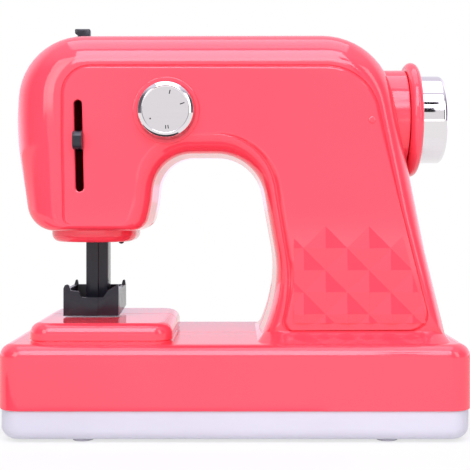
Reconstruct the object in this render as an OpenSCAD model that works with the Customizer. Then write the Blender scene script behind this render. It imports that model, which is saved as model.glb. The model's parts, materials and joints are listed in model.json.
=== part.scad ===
// Toy sewing machine for pretend play, battery driven.
// Two pink half shells meet at the middle plane and stand on a white tray.
// X runs along the base, Y to the back, Z up. The origin lies under the middle of the base.

/* [Base] */
// Length of the base
base_l = 220; // [210:1:245]
// Depth of the base, front to back
base_d = 104; // [100:1:130]
// Height of the pink upper base
base_h = 30; // [27:1:45]
// Radius of the base's corners, seen from above
base_corner = 11; // [8:0.5:16]
// Radius of the base's top edge
base_round = 6; // [3:0.5:7]
// Wall of the moulded shells
wall = 2.5; // [2:0.1:3]

/* [Tray and feet] */
// Height of the white tray
tray_h = 14; // [12:0.2:18]
// How far the tray stands in from the base
tray_inset = 1.8; // [0.5:0.1:3]
// Radius of the tray's lower edge
tray_round = 6; // [2:0.5:7]
// Height of a foot
foot_h = 1.1; // [0.8:0.1:4]
// Radius of a foot
foot_r = 5; // [4:0.5:7]
// Distance of a foot from the end of the base
foot_in_x = 39; // [30:0.5:45]
// Distance of a foot from the front or back of the base
foot_in_y = 11; // [10:0.5:16]

/* [Sewing plate] */
// Width of the raised plate under the needle
plate_w = 67.2; // [60:0.1:70]
// Depth of the raised plate
plate_d = 80; // [70:0.5:86]
// Height of the plate above the base
plate_h = 9.4; // [8:0.2:11]
// Distance of the plate from the left end of the base
plate_in_x = 13.5; // [9:0.5:15]
// Distance of the plate from the front of the base
plate_in_y = 5; // [4:0.5:8]
// Radius of the plate's corners, seen from above
plate_corner = 10; // [7:0.5:14]
// Radius of the plate's top edge
plate_round = 5; // [2:0.5:5]

/* [Arm, column and head] */
// Depth of the arm, front to back
arm_d = 76; // [72:1:84]
// Top of the arm above the base
arm_rise = 147.9; // [145:0.5:155]
// Crown of the throat above the base
throat_rise = 88.4; // [85:0.5:90]
// Underside of the head above the base
head_rise = 51.9; // [49:0.1:54]
// Reach of the head to the left of the middle
head_reach = 107.8; // [104:0.1:109]
// Radius of the head's top left corner
crown_r = 33; // [24:1:36]
// Radius of the shoulder above the handwheel
shoulder_r = 36; // [28:1:38]
// Right end of the column at the base
heel_x = 101.9; // [99:0.1:104]
// Width of the head, from its left end to the throat
head_w = 70.8; // [68:0.1:73]
// Right side of the throat at the waist of the column
throat_right = 19.8; // [18:0.2:22]

/* [Dial, slot and handwheel] */
// Radius of the chrome dial
dial_r = 13.2; // [11:0.2:14]
// Height of the dial in front of the panel
dial_proud = 6.5; // [5:0.1:8]
// Width of the slot for the take-up lever
slot_w = 3.9; // [3.5:0.1:5]
// Length of the slot
slot_l = 43.4; // [38:0.2:46]
// Radius of the pink handwheel rim
rim_r = 28.8; // [27:0.2:32]
// Radius of the chrome handwheel knob
knob_r = 22; // [18:0.2:24]
// Length of the chrome knob
knob_l = 13; // [10:0.5:14]
// Height of the main shaft above the base
shaft_rise = 107.6; // [106:0.2:109]

/* [Needle bar] */
// Distance of the needle bar from the head's left end
needle_in = 38.5; // [36:0.1:41]
// Width of the needle bar
bar_w = 10.8; // [9:0.1:12]
// Depth of the needle bar
bar_d = 13; // [11:0.1:15]
// Stroke of the needle bar
stroke = 12; // [8:0.5:14]
// Width of the presser foot
presser_w = 27; // [24:0.2:30]
// Depth of the presser foot
presser_d = 36; // [30:0.5:40]
// Height of the presser foot to the tips of its prongs
presser_h = 15.4; // [12:0.2:17]

/* [Gears] */
// Gear module
gear_m = 0.8; // [0.75:0.05:0.85]
// Teeth of the small gears
small_teeth = 12; // [12:1:13]
// Teeth of the large gears
large_teeth = 48; // [44:4:48]

/* [Hidden] */
$fn = 48;

// Fits and overruns
cut = 0.5;
air = 0.3;
run_fit = 0.05;
seat_fit = 0.02;
arc_step_count = 6;
fillet_step_count = 5;

// Levels and half sizes of the base
tray_top = foot_h + tray_h;
base_top = tray_top + base_h;
half_l = base_l / 2;
half_d = base_d / 2;
base_inner_chamfer = 2;
root_sink = 2;

// Outline of the arm at the middle plane
head_tuck = 7.6;
crown_tuck = 2.8;
cheek_rise = 98;
cheek_r = 120;
chin_r = 16;
jaw_r = 8;
jaw_out = 5.3;
jowl_rise = 64.9;
jowl_out = 2.3;
jowl_r = 40;
throat_left_r = 18;
throat_right_r = 23;
throat_lean = 9.7;
waist_rise = 20.9;
waist_r = 30;
ankle_in = 9.3;
shoulder_in = 29.9;
hip_in = 10;
hip_rise = 41.9;
hip_r = 80;
sole_r = 1;

// Panel on the face, measured in from the outline of the middle plane
panel_left = 25.5;
panel_top = 17;
panel_right = 8;
panel_hip = 13.5;
panel_heel = 8.5;
panel_hip_drop = 22;
panel_bottom = 5;
panel_waist = 4.1;
panel_throat = 9.5;
panel_jaw = 3;
panel_crown_r = 14;
panel_shoulder_r = 26;
panel_hip_r = 80;
panel_corner_r = 4;
panel_heel_r = 7.5;
panel_throat_r = 29;
panel_jowl_r = 25;
panel_edge = 1.2;
panel_proud = 0.8;
waist_edge = 4.5;
waist_proud = 1.8;
draft = 0.8;
inner_edge = 1;

// Depth of the rounded edge round the face, at each stretch of the outline
round_deep = 20;
round_shoulder = 18;
round_hip = 13;
round_sole = 8;
round_waist = 7;
round_throat = 10;
round_jaw = 7;

// Flared foot of the column
skirt_h = 5;
skirt_front = 10.8;
skirt_left = 5;
skirt_right = 3.2;
skirt_left_in = 5.3;
skirt_right_in = 2.4;
skirt_corner = 10;
skirt_bend = 1.3;
skirt_step_count = 5;

// Faceted relief on the column
facet_x = 42.6;
facet_rise = 44.2;
facet_w = 10.25;
facet_h = 10.35;
facet_proud = 1.6;
facet_left_count = 2;
facet_right_count = 5;
facet_down_count = 4;
facet_bottom = 8.8;
facet_left = 8;
facet_right_in = 3.4;

// Collar under the head
collar_w = 42;
collar_d = 56;
collar_h = 5.5;
collar_corner = 19;
collar_round = 4;
collar_off = 0.7;

// Drum that carries the handwheel
drum_r = 25;
drum_root_in = 33.9;
drum_end_in = 16.8;
drum_wall = 3;

// Slot and lever places
slot_off = 4.4;
slot_low = 70.8;
slot_lean = 1.3;
lever_rise = 94.9;
lever_h = 8.8;
lever_neck_w = 2.5;
lever_w = 4.4;
lever_proud = 6;
lever_tip_r = 3;

// Dial places
dial_off = 36.9;
dial_rise = 109.1;
dial_ring = 2;
dial_ring_gap = 0.6;
dial_ring_proud = 0.6;
dial_edge = 2.3;
dial_stem_r = 3;
dial_boss_r = 6;
dial_boss_l = 5.5;
dial_clip_t = 1.2;

// Small pip beside the shoulder
pip_in = 37.3;
pip_rise = 104.7;
pip_r = 1.7;
pip_proud = 0.6;

// Plate details
plate_band = 1.2;
plate_groove = 0.5;
plate_hollow_in = 8;

// Screws of the shells: two beside the needle bar, the others as shares of the heel's place,
// and all but the jaw's as shares of the arm's height
screw_crown_off = 23;
screw_jaw_off = 13.5;
screw_jaw_up = 14.7;
screw_x_shares = [0.096, 0.53, 0.335, 0.8];
screw_rise_shares = [0.835, 0.85, 0.83, 0.12, 0.12];
screw_r = 1.3;
screw_head_r = 2.8;
screw_head_h = 2.2;
screw_seat = 8;
screw_l = 30;
boss_r = 3.6;
boss_outer_r = 5;
pilot_r = 1.35;

// Screws of the tray
tray_boss_in_x = 18.5;
tray_boss_in_y = 14;
tray_boss_r = 4;
tray_screw_l = 16;
tray_screw_recess = 1;

// Main shaft and its bushes
shaft_r = 2.5;
bush_r = 5;
bush_off = 21.3;
rib_t = 3;
rib_h = 26;
crank_gap = 0.5;

// Gear train
mesh_angle = 25;
tooth_tip_share = 0.8;
tooth_root_share = 1.15;
backlash = 0.16;
drive_gear_x = 30;
gear_t = 5;
small_gear_over = 0.5;
stage_gap = 2;
frame_t = 2;
frame_gap = 1.2;
frame_half_w = 21;
frame_back = 2;
frame_top_over = 10;
frame_low_over = 12;
idler_pin_r = 1.5;
frame_hole = 0.4;
frame_screw_drop = 5;

// Motor
motor_r = 10;
motor_flat = 15;
motor_l = 25;
motor_boss_r = 3;
motor_boss_l = 1.6;
motor_shaft_r = 1;
motor_bore_l = 4;

// Crank, yoke and carriage
crank_r = 10;
crank_t = 5;
crank_pin_r = 1.5;
crank_pin_l = 4.4;
pin_gap = 0.4;
yoke_t = 3;
yoke_half_w = 11;
yoke_slot_half_w = 8.4;
yoke_edge = 5;
carriage_w = 12;
carriage_d = 14;
carriage_low = 74;

// Needle bar and presser foot
presser_off = 1.4;
presser_lift = 0.7;
presser_wall = 2;
presser_floor = 3.6;
presser_heel = 2;
presser_side_h = 12.9;
presser_rib_w = 7;
presser_rib_proud = 0.8;
presser_rib_h = 9.1;
prong_w = 2.3;
// Front wall of the presser foot, as shares of its width and height
presser_front_shares = [
    [0, 0], [0, 0.87], [0.022, 0.97], [0.06, 1], [0.097, 0.97], [0.13, 0.8], [0.27, 0.78],
    [0.325, 0.59], [0.725, 0.59], [0.815, 0.82], [0.98, 0.99], [1, 0.99], [1, 0]
];
prong_shares = [[0, 0], [1, 0], [0.8, 0.85], [0.55, 1], [0.3, 0.85]];
bar_groove_w = 1.4;
bar_groove_d = 0.7;
bar_top_rise = 80;

// Bar guide in the collar
guide_wall = 3.2;
guide_flange = 3;
guide_flange_t = 2;
guide_over = 2.5;

// Thread guide on top of the arm
hook_off = 8.1;
hook_w = 6.3;
hook_d = 9;
hook_h = 5.7;
hook_lip = 1.6;
hook_lip_h = 2.5;
hook_round = 1;
hook_stem = 4;
hook_anchor = 8;
hook_anchor_t = 2;

// Work lamp under the collar
lamp_off = 13.3;
lamp_y = -15.5;
lamp_r = 1.5;
lamp_proud = 1;
lamp_l = 6;

// Battery bay in the tray
floor_t = 2.5;
cell_r = 7.25;
cell_l = 49;
cell_tip_r = 2.6;
cell_tip_l = 1.5;
cell_gap = 0.8;
bay_off = 52;
bay_spring = 5;
bay_wall = 1.8;
bay_play = 0.5;
door_t = 2;
door_ear = 9;
door_ear_t = 1.2;
door_hook = 2.6;
door_hook_w = 7;
door_hook_t = 1.3;
door_screw_l = 9;
door_boss_r = 3.4;
spring_turn_count = 3;
spring_wire_r = 0.35;
spring_r = 3;
spring_top_r = 2.2;
spring_side_count = 6;
spring_ring_count = 8;
contact_t = 0.4;
contact_h = 11;
contact_w = 11;

// Power switch in the tray
switch_in = 38;
switch_l = 13;
switch_w = 7;
switch_h = 6;
slider_l = 4;
slider_w = 3;
slider_travel = 4;
slider_recess = 0.6;
slider_play = 0.3;

// Colours
pink = "#ff647a";
white = "#e5deee";
black = "#34343c";
chrome = "#d9d6d6";
steel = "#b9bcc2";
brass = "#c9a04e";
nylon = "#f1efe6";
grey = "#b8b3bf";

// Derived places
needle_x = needle_in - head_reach;
collar_x = needle_x - collar_off;
presser_x = needle_x - presser_off;
slot_x = needle_x - slot_off;
hook_x = needle_x - hook_off;
lamp_x = needle_x + lamp_off;
dial_x = needle_x + dial_off;
bush_x = needle_x + bush_off;
shaft_left = bush_x - rib_t / 2 - crank_gap;
throat_left = head_reach - head_w;
pip_x = heel_x - pip_in;
switch_x = half_l - switch_in;
bay_x = switch_x - bay_off;
arm_half = arm_d / 2;
dial_z = base_top + dial_rise;
dial_ring_r = dial_r + dial_ring_gap;
shaft_z = base_top + shaft_rise;
arm_top = base_top + arm_rise;
head_low = base_top + head_rise;
plate_x0 = plate_in_x - half_l;
plate_x1 = plate_x0 + plate_w;
plate_y0 = plate_in_y - half_d;
plate_y1 = plate_y0 + plate_d;
plate_top = base_top + plate_h;
face_y = -arm_half;
inner_face_y = face_y + wall;
collar_low = head_low - collar_h;
guide_hole_w = bar_w + 2 * air;
guide_hole_d = bar_d + 2 * air;
guide_w = guide_hole_w + 2 * guide_wall;
guide_d = guide_hole_d + 2 * guide_wall;
flange_w = guide_w + 2 * guide_flange;
flange_d = guide_d + 2 * guide_flange;
neck_w = bar_w - 2 * wall;
neck_d = bar_d - 2 * wall;
bar_top = base_top + bar_top_rise;
presser_low = plate_top + presser_lift;
lever_z = base_top + lever_rise;
small_r = gear_m * small_teeth / 2;
large_r = gear_m * large_teeth / 2;
centre_gap = small_r + large_r;
idler_z = shaft_z - centre_gap;
motor_z = idler_z - centre_gap;
drive_gear_end = drive_gear_x + gear_t;
idler_large_x = drive_gear_end + stage_gap;
idler_large_end = idler_large_x + gear_t;
frame_x0 = drive_gear_x - small_gear_over - frame_gap - frame_t;
frame_x1 = idler_large_end + small_gear_over + frame_gap;
frame_end = frame_x1 + frame_t;
frame_x = (frame_x0 + frame_end) / 2;
frame_low = motor_z - frame_low_over;
frame_top = shaft_z + frame_top_over;
frame_half = max(frame_half_w, large_r + gear_m + air);
frame_wall_y = frame_half + frame_back;
crank_x = shaft_left - crank_t;
crank_drop = stroke / 2;
yoke_x1 = crank_x - crank_pin_l - pin_gap;
yoke_x0 = yoke_x1 - yoke_t;
yoke_z = shaft_z - crank_drop;
carriage_x0 = needle_x - carriage_w / 2;
carriage_low_z = base_top + carriage_low;
carriage_top = yoke_z + yoke_edge + crank_pin_r + air;
floor_top = foot_h + floor_t;
cell_z = floor_top + bay_play + cell_r;
cell_y = cell_r + cell_gap / 2;
bay_half_w = 2 * cell_r + cell_gap / 2 + bay_play;
bay_half_l = (cell_l + cell_tip_l + 2 * bay_spring) / 2;
bay_x0 = bay_x - bay_half_l;
bay_x1 = bay_x + bay_half_l;
bay_top = cell_z + cell_r + bay_play;
door_screw_x = bay_x1 + bay_wall + door_ear / 2;
drum_root = heel_x - drum_root_in;
drum_end = heel_x - drum_end_in;
rim_x0 = drum_end + air;
rim_t = 6;
rim_x1 = rim_x0 + rim_t;
knob_round = 2.6;
knob_dish = 1;
knob_dish_in = 4;
shaft_right = rim_x1 + knob_l / 2;

// Vectors and outlines
function unit(v) = v / norm(v);
function mix(a, b, t) = a + (b - a) * t;

// Arc of radius r that rounds corner p between its neighbours a and b
function corner_arc(a, p, b, r) =
    let (
        u = unit(a - p),
        v = unit(b - p),
        half = acos(u * v) / 2,
        c = p + unit(u + v) * r / sin(half),
        from = p + u * r / tan(half) - c,
        side = u.x * v.y - u.y * v.x > 0 ? -1 : 1,
        turn = side * (180 - 2 * half) / arc_step_count,
        start = atan2(from.y, from.x)
    )
    [for (i = [0:arc_step_count]) c + r * [cos(start + turn * i), sin(start + turn * i)]];

// Closed outline through rounded corners, each given as x, y and radius
function rounded(corners) =
    let (n = len(corners), p = [for (c = corners) [c.x, c.y]])
    [for (i = [0:n - 1]) each corner_arc(p[(i + n - 1) % n], p[i], p[(i + 1) % n], corners[i].z)];

// A value for each point of an outline, from its values at the start and end of every corner
function per_corner(starts, ends) = [
    for (c = [0:len(starts) - 1])
        each [for (k = [0:arc_step_count]) mix(starts[c], ends[c], k / arc_step_count)]
];

// Corners of the arm at the middle plane: outer edge from chin to heel, then back round the throat
mid_corners = [
    [head_tuck - head_reach, head_rise, chin_r],
    [-head_reach, cheek_rise, cheek_r],
    [crown_tuck - head_reach, arm_rise, crown_r],
    [heel_x - shoulder_in, arm_rise, shoulder_r],
    [heel_x - hip_in, hip_rise, hip_r],
    [heel_x, -root_sink, sole_r],
    [throat_right - ankle_in, -root_sink, sole_r],
    [throat_right, waist_rise, waist_r],
    [throat_right - throat_lean, throat_rise, throat_right_r],
    [-throat_left, throat_rise, throat_left_r],
    [-throat_left - jowl_out, jowl_rise, jowl_r],
    [-throat_left - jaw_out, head_rise, jaw_r]
];

// Corners of the raised panel on the face, in the same order
face_corners = [
    [panel_left - head_reach + panel_proud, head_rise + panel_jaw, panel_corner_r],
    [panel_left - head_reach, cheek_rise, cheek_r],
    [panel_left - head_reach, arm_rise - panel_top, panel_crown_r],
    [heel_x - shoulder_in - panel_right, arm_rise - panel_top, panel_shoulder_r],
    [heel_x - hip_in - panel_hip, hip_rise + panel_hip_drop, panel_hip_r],
    [heel_x - panel_heel, panel_bottom, panel_heel_r],
    [throat_right + panel_edge, panel_bottom, panel_corner_r],
    [throat_right + panel_waist, waist_rise + panel_waist, waist_r],
    [throat_right - throat_lean + panel_waist, throat_rise + panel_throat, panel_throat_r],
    [-throat_left - panel_throat, throat_rise + panel_throat, panel_jowl_r],
    [-throat_left - jowl_out - panel_throat, jowl_rise, jowl_r],
    [-throat_left - jaw_out - panel_throat, head_rise + panel_jaw, panel_corner_r]
];

// Depth of the rounded edge, and height and width of the panel's step, in the same order
edge_depths = [
    [
        round_jaw, round_deep, round_deep, round_shoulder, round_hip, round_sole,
        round_sole, round_waist, round_throat, round_throat, round_throat, round_throat
    ],
    [
        round_deep, round_deep, round_deep, round_shoulder, round_hip, round_sole,
        round_sole, round_waist, round_throat, round_throat, round_throat, round_jaw
    ]
];
edge_drops = [
    [
        0, panel_proud, panel_proud, panel_proud, panel_proud, panel_proud,
        panel_proud, waist_proud, waist_proud, 0, 0, 0
    ],
    [
        panel_proud, panel_proud, panel_proud, panel_proud, panel_proud, panel_proud,
        waist_proud, waist_proud, 0, 0, 0, 0
    ]
];
edge_widths = [
    [
        panel_edge, panel_edge, panel_edge, panel_edge, panel_edge, panel_edge,
        panel_edge, waist_edge, waist_edge, panel_edge, panel_edge, panel_edge
    ],
    [
        panel_edge, panel_edge, panel_edge, panel_edge, panel_edge, panel_edge,
        waist_edge, waist_edge, panel_edge, panel_edge, panel_edge, panel_edge
    ]
];

mid_line = rounded(mid_corners);
face_line = rounded(face_corners);
line_n = len(mid_line);
inward = [for (i = [0:line_n - 1]) unit(face_line[i] - mid_line[i])];
edge_depth = per_corner(edge_depths[0], edge_depths[1]);
edge_drop = per_corner(edge_drops[0], edge_drops[1]);
edge_width = per_corner(edge_widths[0], edge_widths[1]);

function at_depth(p, y) = [p.x, y, base_top + p.y];

// One ring of the outer skin at angle t round the edge, 0 on the side and 90 on the face
function skin_ring(t) = [
    for (i = [0:line_n - 1])
        at_depth(
            mix(mid_line[i] + inward[i] * draft, face_line[i], 1 - cos(t)),
            face_y + edge_drop[i] + edge_depth[i] * (1 - sin(t))
        )
];

// The same ring on the inside of the wall
function lining_ring(t) = [
    for (i = [0:line_n - 1])
        at_depth(
            mix(
                mid_line[i] + inward[i] * (draft + wall),
                face_line[i] + inward[i] * inner_edge,
                1 - cos(t)
            ),
            inner_face_y + edge_drop[i] + edge_depth[i] * (1 - sin(t))
        )
];

function plain_ring(inset, y) = [for (i = [0:line_n - 1]) at_depth(mid_line[i] + inward[i] * inset, y)];
function panel_ring() = [
    for (i = [0:line_n - 1]) at_depth(face_line[i] + inward[i] * edge_width[i], face_y)
];

fillet_angles = [for (k = [0:fillet_step_count]) 90 * k / fillet_step_count];
arm_rings = concat(
    [for (k = [fillet_step_count:-1:0]) lining_ring(fillet_angles[k])],
    [plain_ring(wall, 0), plain_ring(0, 0)],
    [for (t = fillet_angles) skin_ring(t)],
    [panel_ring()]
);

// Side triangles between rings of n points
function ring_sides(n, rings) = [
    for (k = [0:rings - 2])
        for (i = [0:n - 1])
            let (j = (i + 1) % n, a = k * n, b = a + n)
                each [[a + i, b + i, b + j], [a + i, b + j, a + j]]
];

// Cap of a bent outline, woven between its outer edge and its throat edge
function woven_cap(n, base, flip) = [
    for (k = [0:n / 2 - 2])
        let (p = base + k, q = base + n - 1 - k)
            each flip
                ? [[p, q - 1, p + 1], [p, q, q - 1]]
                : [[p, p + 1, q - 1], [p, q - 1, q]]
];

// Loft through rings that lie in level planes, capped flat at both ends
module loft(rings) {
    n = len(rings[0]);
    m = len(rings);
    polyhedron(
        points = [for (r = rings) each r],
        faces = concat(
            [[for (i = [0:n - 1]) i]],
            ring_sides(n, m),
            [[for (i = [n - 1:-1:0]) (m - 1) * n + i]]
        ),
        convexity = 6
    );
}

module arm_half() {
    m = len(arm_rings);
    polyhedron(
        points = [for (r = arm_rings) each r],
        faces = concat(
            woven_cap(line_n, 0, true),
            [for (f = ring_sides(line_n, m)) [f[0], f[2], f[1]]],
            woven_cap(line_n, (m - 1) * line_n, false)
        ),
        convexity = 10
    );
}

// Level ring of a rounded rectangle, drawn in by inset on all sides
function level_ring(x0, x1, y0, y1, corner, inset, z) = [
    for (p = rounded([
        [x0 + inset, y0 + inset, corner - inset],
        [x1 - inset, y0 + inset, corner - inset],
        [x1 - inset, y1 - inset, corner - inset],
        [x0 + inset, y1 - inset, corner - inset]
    ])) [p.x, p.y, z]
];

// Rings round a top edge of radius r that ends at height z
function top_edge(x0, x1, y0, y1, corner, r, z) = [
    for (t = fillet_angles) level_ring(x0, x1, y0, y1, corner, r * (1 - cos(t)), z - r * (1 - sin(t)))
];

// Rings round a bottom edge of radius r that starts at height z
function bottom_edge(x0, x1, y0, y1, corner, r, z) = [
    for (k = [fillet_step_count:-1:0])
        let (t = fillet_angles[k])
            level_ring(x0, x1, y0, y1, corner, r * (1 - cos(t)), z + r * (1 - sin(t)))
];

function base_ring(inset, z) = level_ring(-half_l, half_l, -half_d, half_d, base_corner, inset, z);
function plate_ring(inset, rise) =
    level_ring(plate_x0, plate_x1, plate_y0, plate_y1, plate_corner, inset, base_top + rise);

module base_cup() {
    loft(concat(
        [
            base_ring(wall + base_inner_chamfer, base_top - wall),
            base_ring(wall, base_top - wall - base_inner_chamfer),
            base_ring(wall, tray_top),
            base_ring(0, tray_top)
        ],
        top_edge(-half_l, half_l, -half_d, half_d, base_corner, base_round, base_top)
    ));
}

module plate_block() {
    loft(concat(
        [
            plate_ring(0, -wall / 2),
            plate_ring(0, plate_band - plate_groove / 2),
            plate_ring(plate_groove, plate_band),
            plate_ring(0, plate_band + plate_groove)
        ],
        top_edge(plate_x0, plate_x1, plate_y0, plate_y1, plate_corner, plate_round, plate_top)
    ));
}

// Flare between the column and the base, drawn in as it rises
module column_skirt() {
    half = arm_half - panel_proud;
    left = throat_right - skirt_left_in;
    right = heel_x - skirt_right_in;
    loft([
        for (k = [0:skirt_step_count])
            let (
                rise = k / skirt_step_count,
                out = pow(1 - rise, skirt_bend),
                y = half + skirt_front * out
            )
            level_ring(
                left - skirt_left * out, right + skirt_right * out, -y, y, skirt_corner, 0,
                base_top - wall / 2 + (skirt_h + wall / 2) * rise
            )
    ]);
}

module collar_block() {
    x0 = collar_x - collar_w / 2;
    x1 = collar_x + collar_w / 2;
    y0 = -collar_d / 2;
    y1 = collar_d / 2;
    loft(concat(
        bottom_edge(x0, x1, y0, y1, collar_corner, collar_round, collar_low),
        [level_ring(x0, x1, y0, y1, collar_corner, 0, head_low + wall / 2)]
    ));
}

// Field of low pyramids in a diamond lattice, cut to the panel's lower end
module facet_relief() {
    cols = facet_left_count + facet_right_count;
    rows = facet_down_count + 1;
    n = cols + 1;
    total = n * (rows + 1);
    x_first = facet_x - facet_left_count * facet_w;
    z_first = base_top + facet_rise - facet_down_count * facet_h;
    even = (facet_left_count + facet_down_count) % 2;
    grid = [for (j = [0:rows]) for (i = [0:cols]) [x_first + i * facet_w, z_first + j * facet_h, i + j]];
    right_low = heel_x - panel_heel - facet_right_in;
    right_high = heel_x - hip_in - panel_hip - facet_right_in;
    right_top = hip_rise + panel_hip_drop;
    slope = (right_high - right_low) / (right_top - facet_bottom);
    right_mid = right_low + slope * (facet_rise - facet_bottom);
    last_x = facet_x + 3 * facet_w;
    part = (right_mid - last_x) / (facet_w - slope * facet_h);
    high = base_top + facet_rise;
    intersection() {
        polyhedron(
            points = concat(
                [for (g = grid) [g.x, face_y - ((g.z + even) % 2 == 0 ? facet_proud : 0), g.y]],
                [for (g = grid) [g.x, face_y + wall / 2, g.y]]
            ),
            faces = concat(
                [
                    for (j = [0:rows - 1])
                        for (i = [0:cols - 1])
                            let (a = j * n + i, b = a + 1, c = b + n, d = a + n)
                                each (i + j + even) % 2 == 0
                                    ? [[a, d, b], [b, d, c]]
                                    : [[a, d, c], [a, c, b]]
                ],
                [
                    for (j = [0:rows - 1])
                        for (i = [0:cols - 1])
                            let (a = total + j * n + i, b = a + 1, c = b + n, d = a + n)
                                each [[a, b, c], [a, c, d]]
                ],
                [
                    for (a = [0:cols - 1])
                        let (b = total + a) each [[a, a + 1, b + 1], [a, b + 1, b]]
                ],
                [
                    for (i = [0:cols - 1])
                        let (a = rows * n + i, b = total + a) each [[a, b, b + 1], [a, b + 1, a + 1]]
                ],
                [
                    for (j = [0:rows - 1])
                        let (a = j * n, b = total + a) each [[a, b, b + n], [a, b + n, a + n]]
                ],
                [
                    for (j = [0:rows - 1])
                        let (a = j * n + cols, b = total + a) each [[a, a + n, b + n], [a, b + n, b]]
                ]
            ),
            convexity = 6
        );
        translate([0, face_y + wall, 0])
            rotate([90, 0, 0])
                linear_extrude(wall + 2 * facet_proud)
                    polygon([
                        [throat_right + facet_left, base_top + facet_bottom],
                        [right_low, base_top + facet_bottom],
                        [last_x + part * facet_w, high + part * facet_h],
                        [last_x, high],
                        [facet_x + 2 * facet_w, high + facet_h],
                        [facet_x + facet_w, high],
                        [facet_x, high + facet_h],
                        [facet_x - facet_w, high],
                        [throat_right + facet_left, high - facet_h / 2]
                    ]);
    }
}

// Rods along the three directions and a box between two corners
module rod_x(x0, x1, y, z, r) {
    translate([x0, y, z]) rotate([0, 90, 0]) cylinder(h = x1 - x0, r = r);
}

module rod_y(x, y0, y1, z, r) {
    translate([x, y0, z]) rotate([-90, 0, 0]) cylinder(h = y1 - y0, r = r);
}

module rod_z(x, y, z0, z1, r) {
    translate([x, y, z0]) cylinder(h = z1 - z0, r = r);
}

module block(lo, hi) {
    translate(lo) cube(hi - lo);
}

module front_side() {
    block([-base_l, -base_d, -base_l], [base_l, 0, base_l]);
}

module rear_side() {
    block([-base_l, 0, -base_l], [base_l, base_d, base_l]);
}

screw_xs = concat(
    [needle_x + screw_crown_off, needle_x + screw_jaw_off],
    [for (share = screw_x_shares) share * heel_x]
);
screw_rises = concat(
    [screw_rise_shares[0] * arm_rise, head_rise + screw_jaw_up],
    [for (i = [1:len(screw_rise_shares) - 1]) screw_rise_shares[i] * arm_rise]
);
screw_places = [for (i = [0:len(screw_xs) - 1]) [screw_xs[i], base_top + screw_rises[i]]];

tray_places = [
    for (sx = [-1, 1])
        for (sy = [-1, 1])
            [sx * (half_l - tray_boss_in_x), sy * (half_d - tray_boss_in_y)]
];

// What both halves share before they are cut: base, plate, column foot, collar and drum
module lower_body() {
    base_cup();
    plate_block();
    column_skirt();
    collar_block();
    rod_x(drum_root, drum_end, 0, shaft_z, drum_r);
    for (p = tray_places) rod_z(p.x, p.y, tray_top, base_top - wall / 2, tray_boss_r);
}

// Hollows that both halves share
module shared_cuts() {
    block(
        [plate_x0 + plate_hollow_in, plate_y0 + plate_hollow_in, base_top - wall - cut],
        [plate_x1 - plate_hollow_in, plate_y1 - plate_hollow_in, plate_top - wall]
    );
    block(
        [throat_right + 2 * wall, inner_face_y + wall, base_top - wall - cut],
        [heel_x - 4 * wall, -inner_face_y - wall, base_top + 3 * skirt_h]
    );
    block(
        [needle_x - guide_w / 2 - seat_fit, -guide_d / 2 - seat_fit, collar_low - cut],
        [needle_x + guide_w / 2 + seat_fit, guide_d / 2 + seat_fit, head_low + 2 * wall]
    );
    rod_x(drum_root - drum_wall, drum_end - drum_wall, 0, shaft_z, drum_r - drum_wall);
    rod_x(drum_root, drum_end + cut, 0, shaft_z, bush_r + seat_fit);
    block(
        [hook_x - hook_stem / 2 - seat_fit, -hook_stem / 2 - seat_fit, arm_top - 2 * wall],
        [hook_x + hook_stem / 2 + seat_fit, hook_stem / 2 + seat_fit, arm_top + cut]
    );
    for (p = tray_places) rod_z(p.x, p.y, tray_top - cut, tray_screw_top + cut, pilot_r);
}

// Rib with a half-round saddle for the left bush
module bush_rib(side) {
    y = side < 0 ? [inner_face_y - cut, 0] : [0, cut - inner_face_y];
    difference() {
        block(
            [bush_x - rib_t / 2, y[0], shaft_z - rib_h / 2],
            [bush_x + rib_t / 2, y[1], shaft_z + rib_h / 2]
        );
        rod_x(bush_x - rib_t, bush_x + rib_t, 0, shaft_z, bush_r + seat_fit);
    }
}

// Slot with round ends for the take-up lever, slightly slanted
module lever_slot() {
    translate([slot_x, face_y - 2 * cut, base_top + slot_low + slot_l / 2])
        rotate([0, slot_lean, 0])
            rotate([-90, 0, 0])
                linear_extrude(wall + 4 * cut) {
                    square([slot_w, slot_l - slot_w], center = true);
                    for (s = [-1, 1]) translate([0, s * (slot_l - slot_w) / 2]) circle(r = slot_w / 2);
                }
}

module front_shell() {
    color(pink)
        difference() {
            union() {
                arm_half();
                intersection() {
                    lower_body();
                    front_side();
                }
                facet_relief();
                bush_rib(-1);
                rod_y(pip_x, face_y - pip_proud, face_y + cut, base_top + pip_rise, pip_r);
                rod_y(
                    dial_x, face_y - dial_ring_proud, inner_face_y - cut, dial_z, dial_ring_r + dial_ring
                );
                rod_y(dial_x, inner_face_y - cut, inner_face_y + dial_boss_l, dial_z, dial_boss_r);
                for (p = screw_places) rod_y(p.x, inner_face_y - cut, 0, p.y, boss_r);
            }
            shared_cuts();
            lever_slot();
            rod_y(dial_x, face_y - dial_proud, face_y, dial_z, dial_ring_r);
            rod_y(dial_x, face_y - cut, 0, dial_z, dial_stem_r + run_fit);
            rod_z(lamp_x, lamp_y, collar_low - cut, head_low + 2 * wall, lamp_r + seat_fit);
            for (p = screw_places) rod_y(p.x, screw_seat - screw_l - cut, cut, p.y, pilot_r);
        }
}

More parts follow.
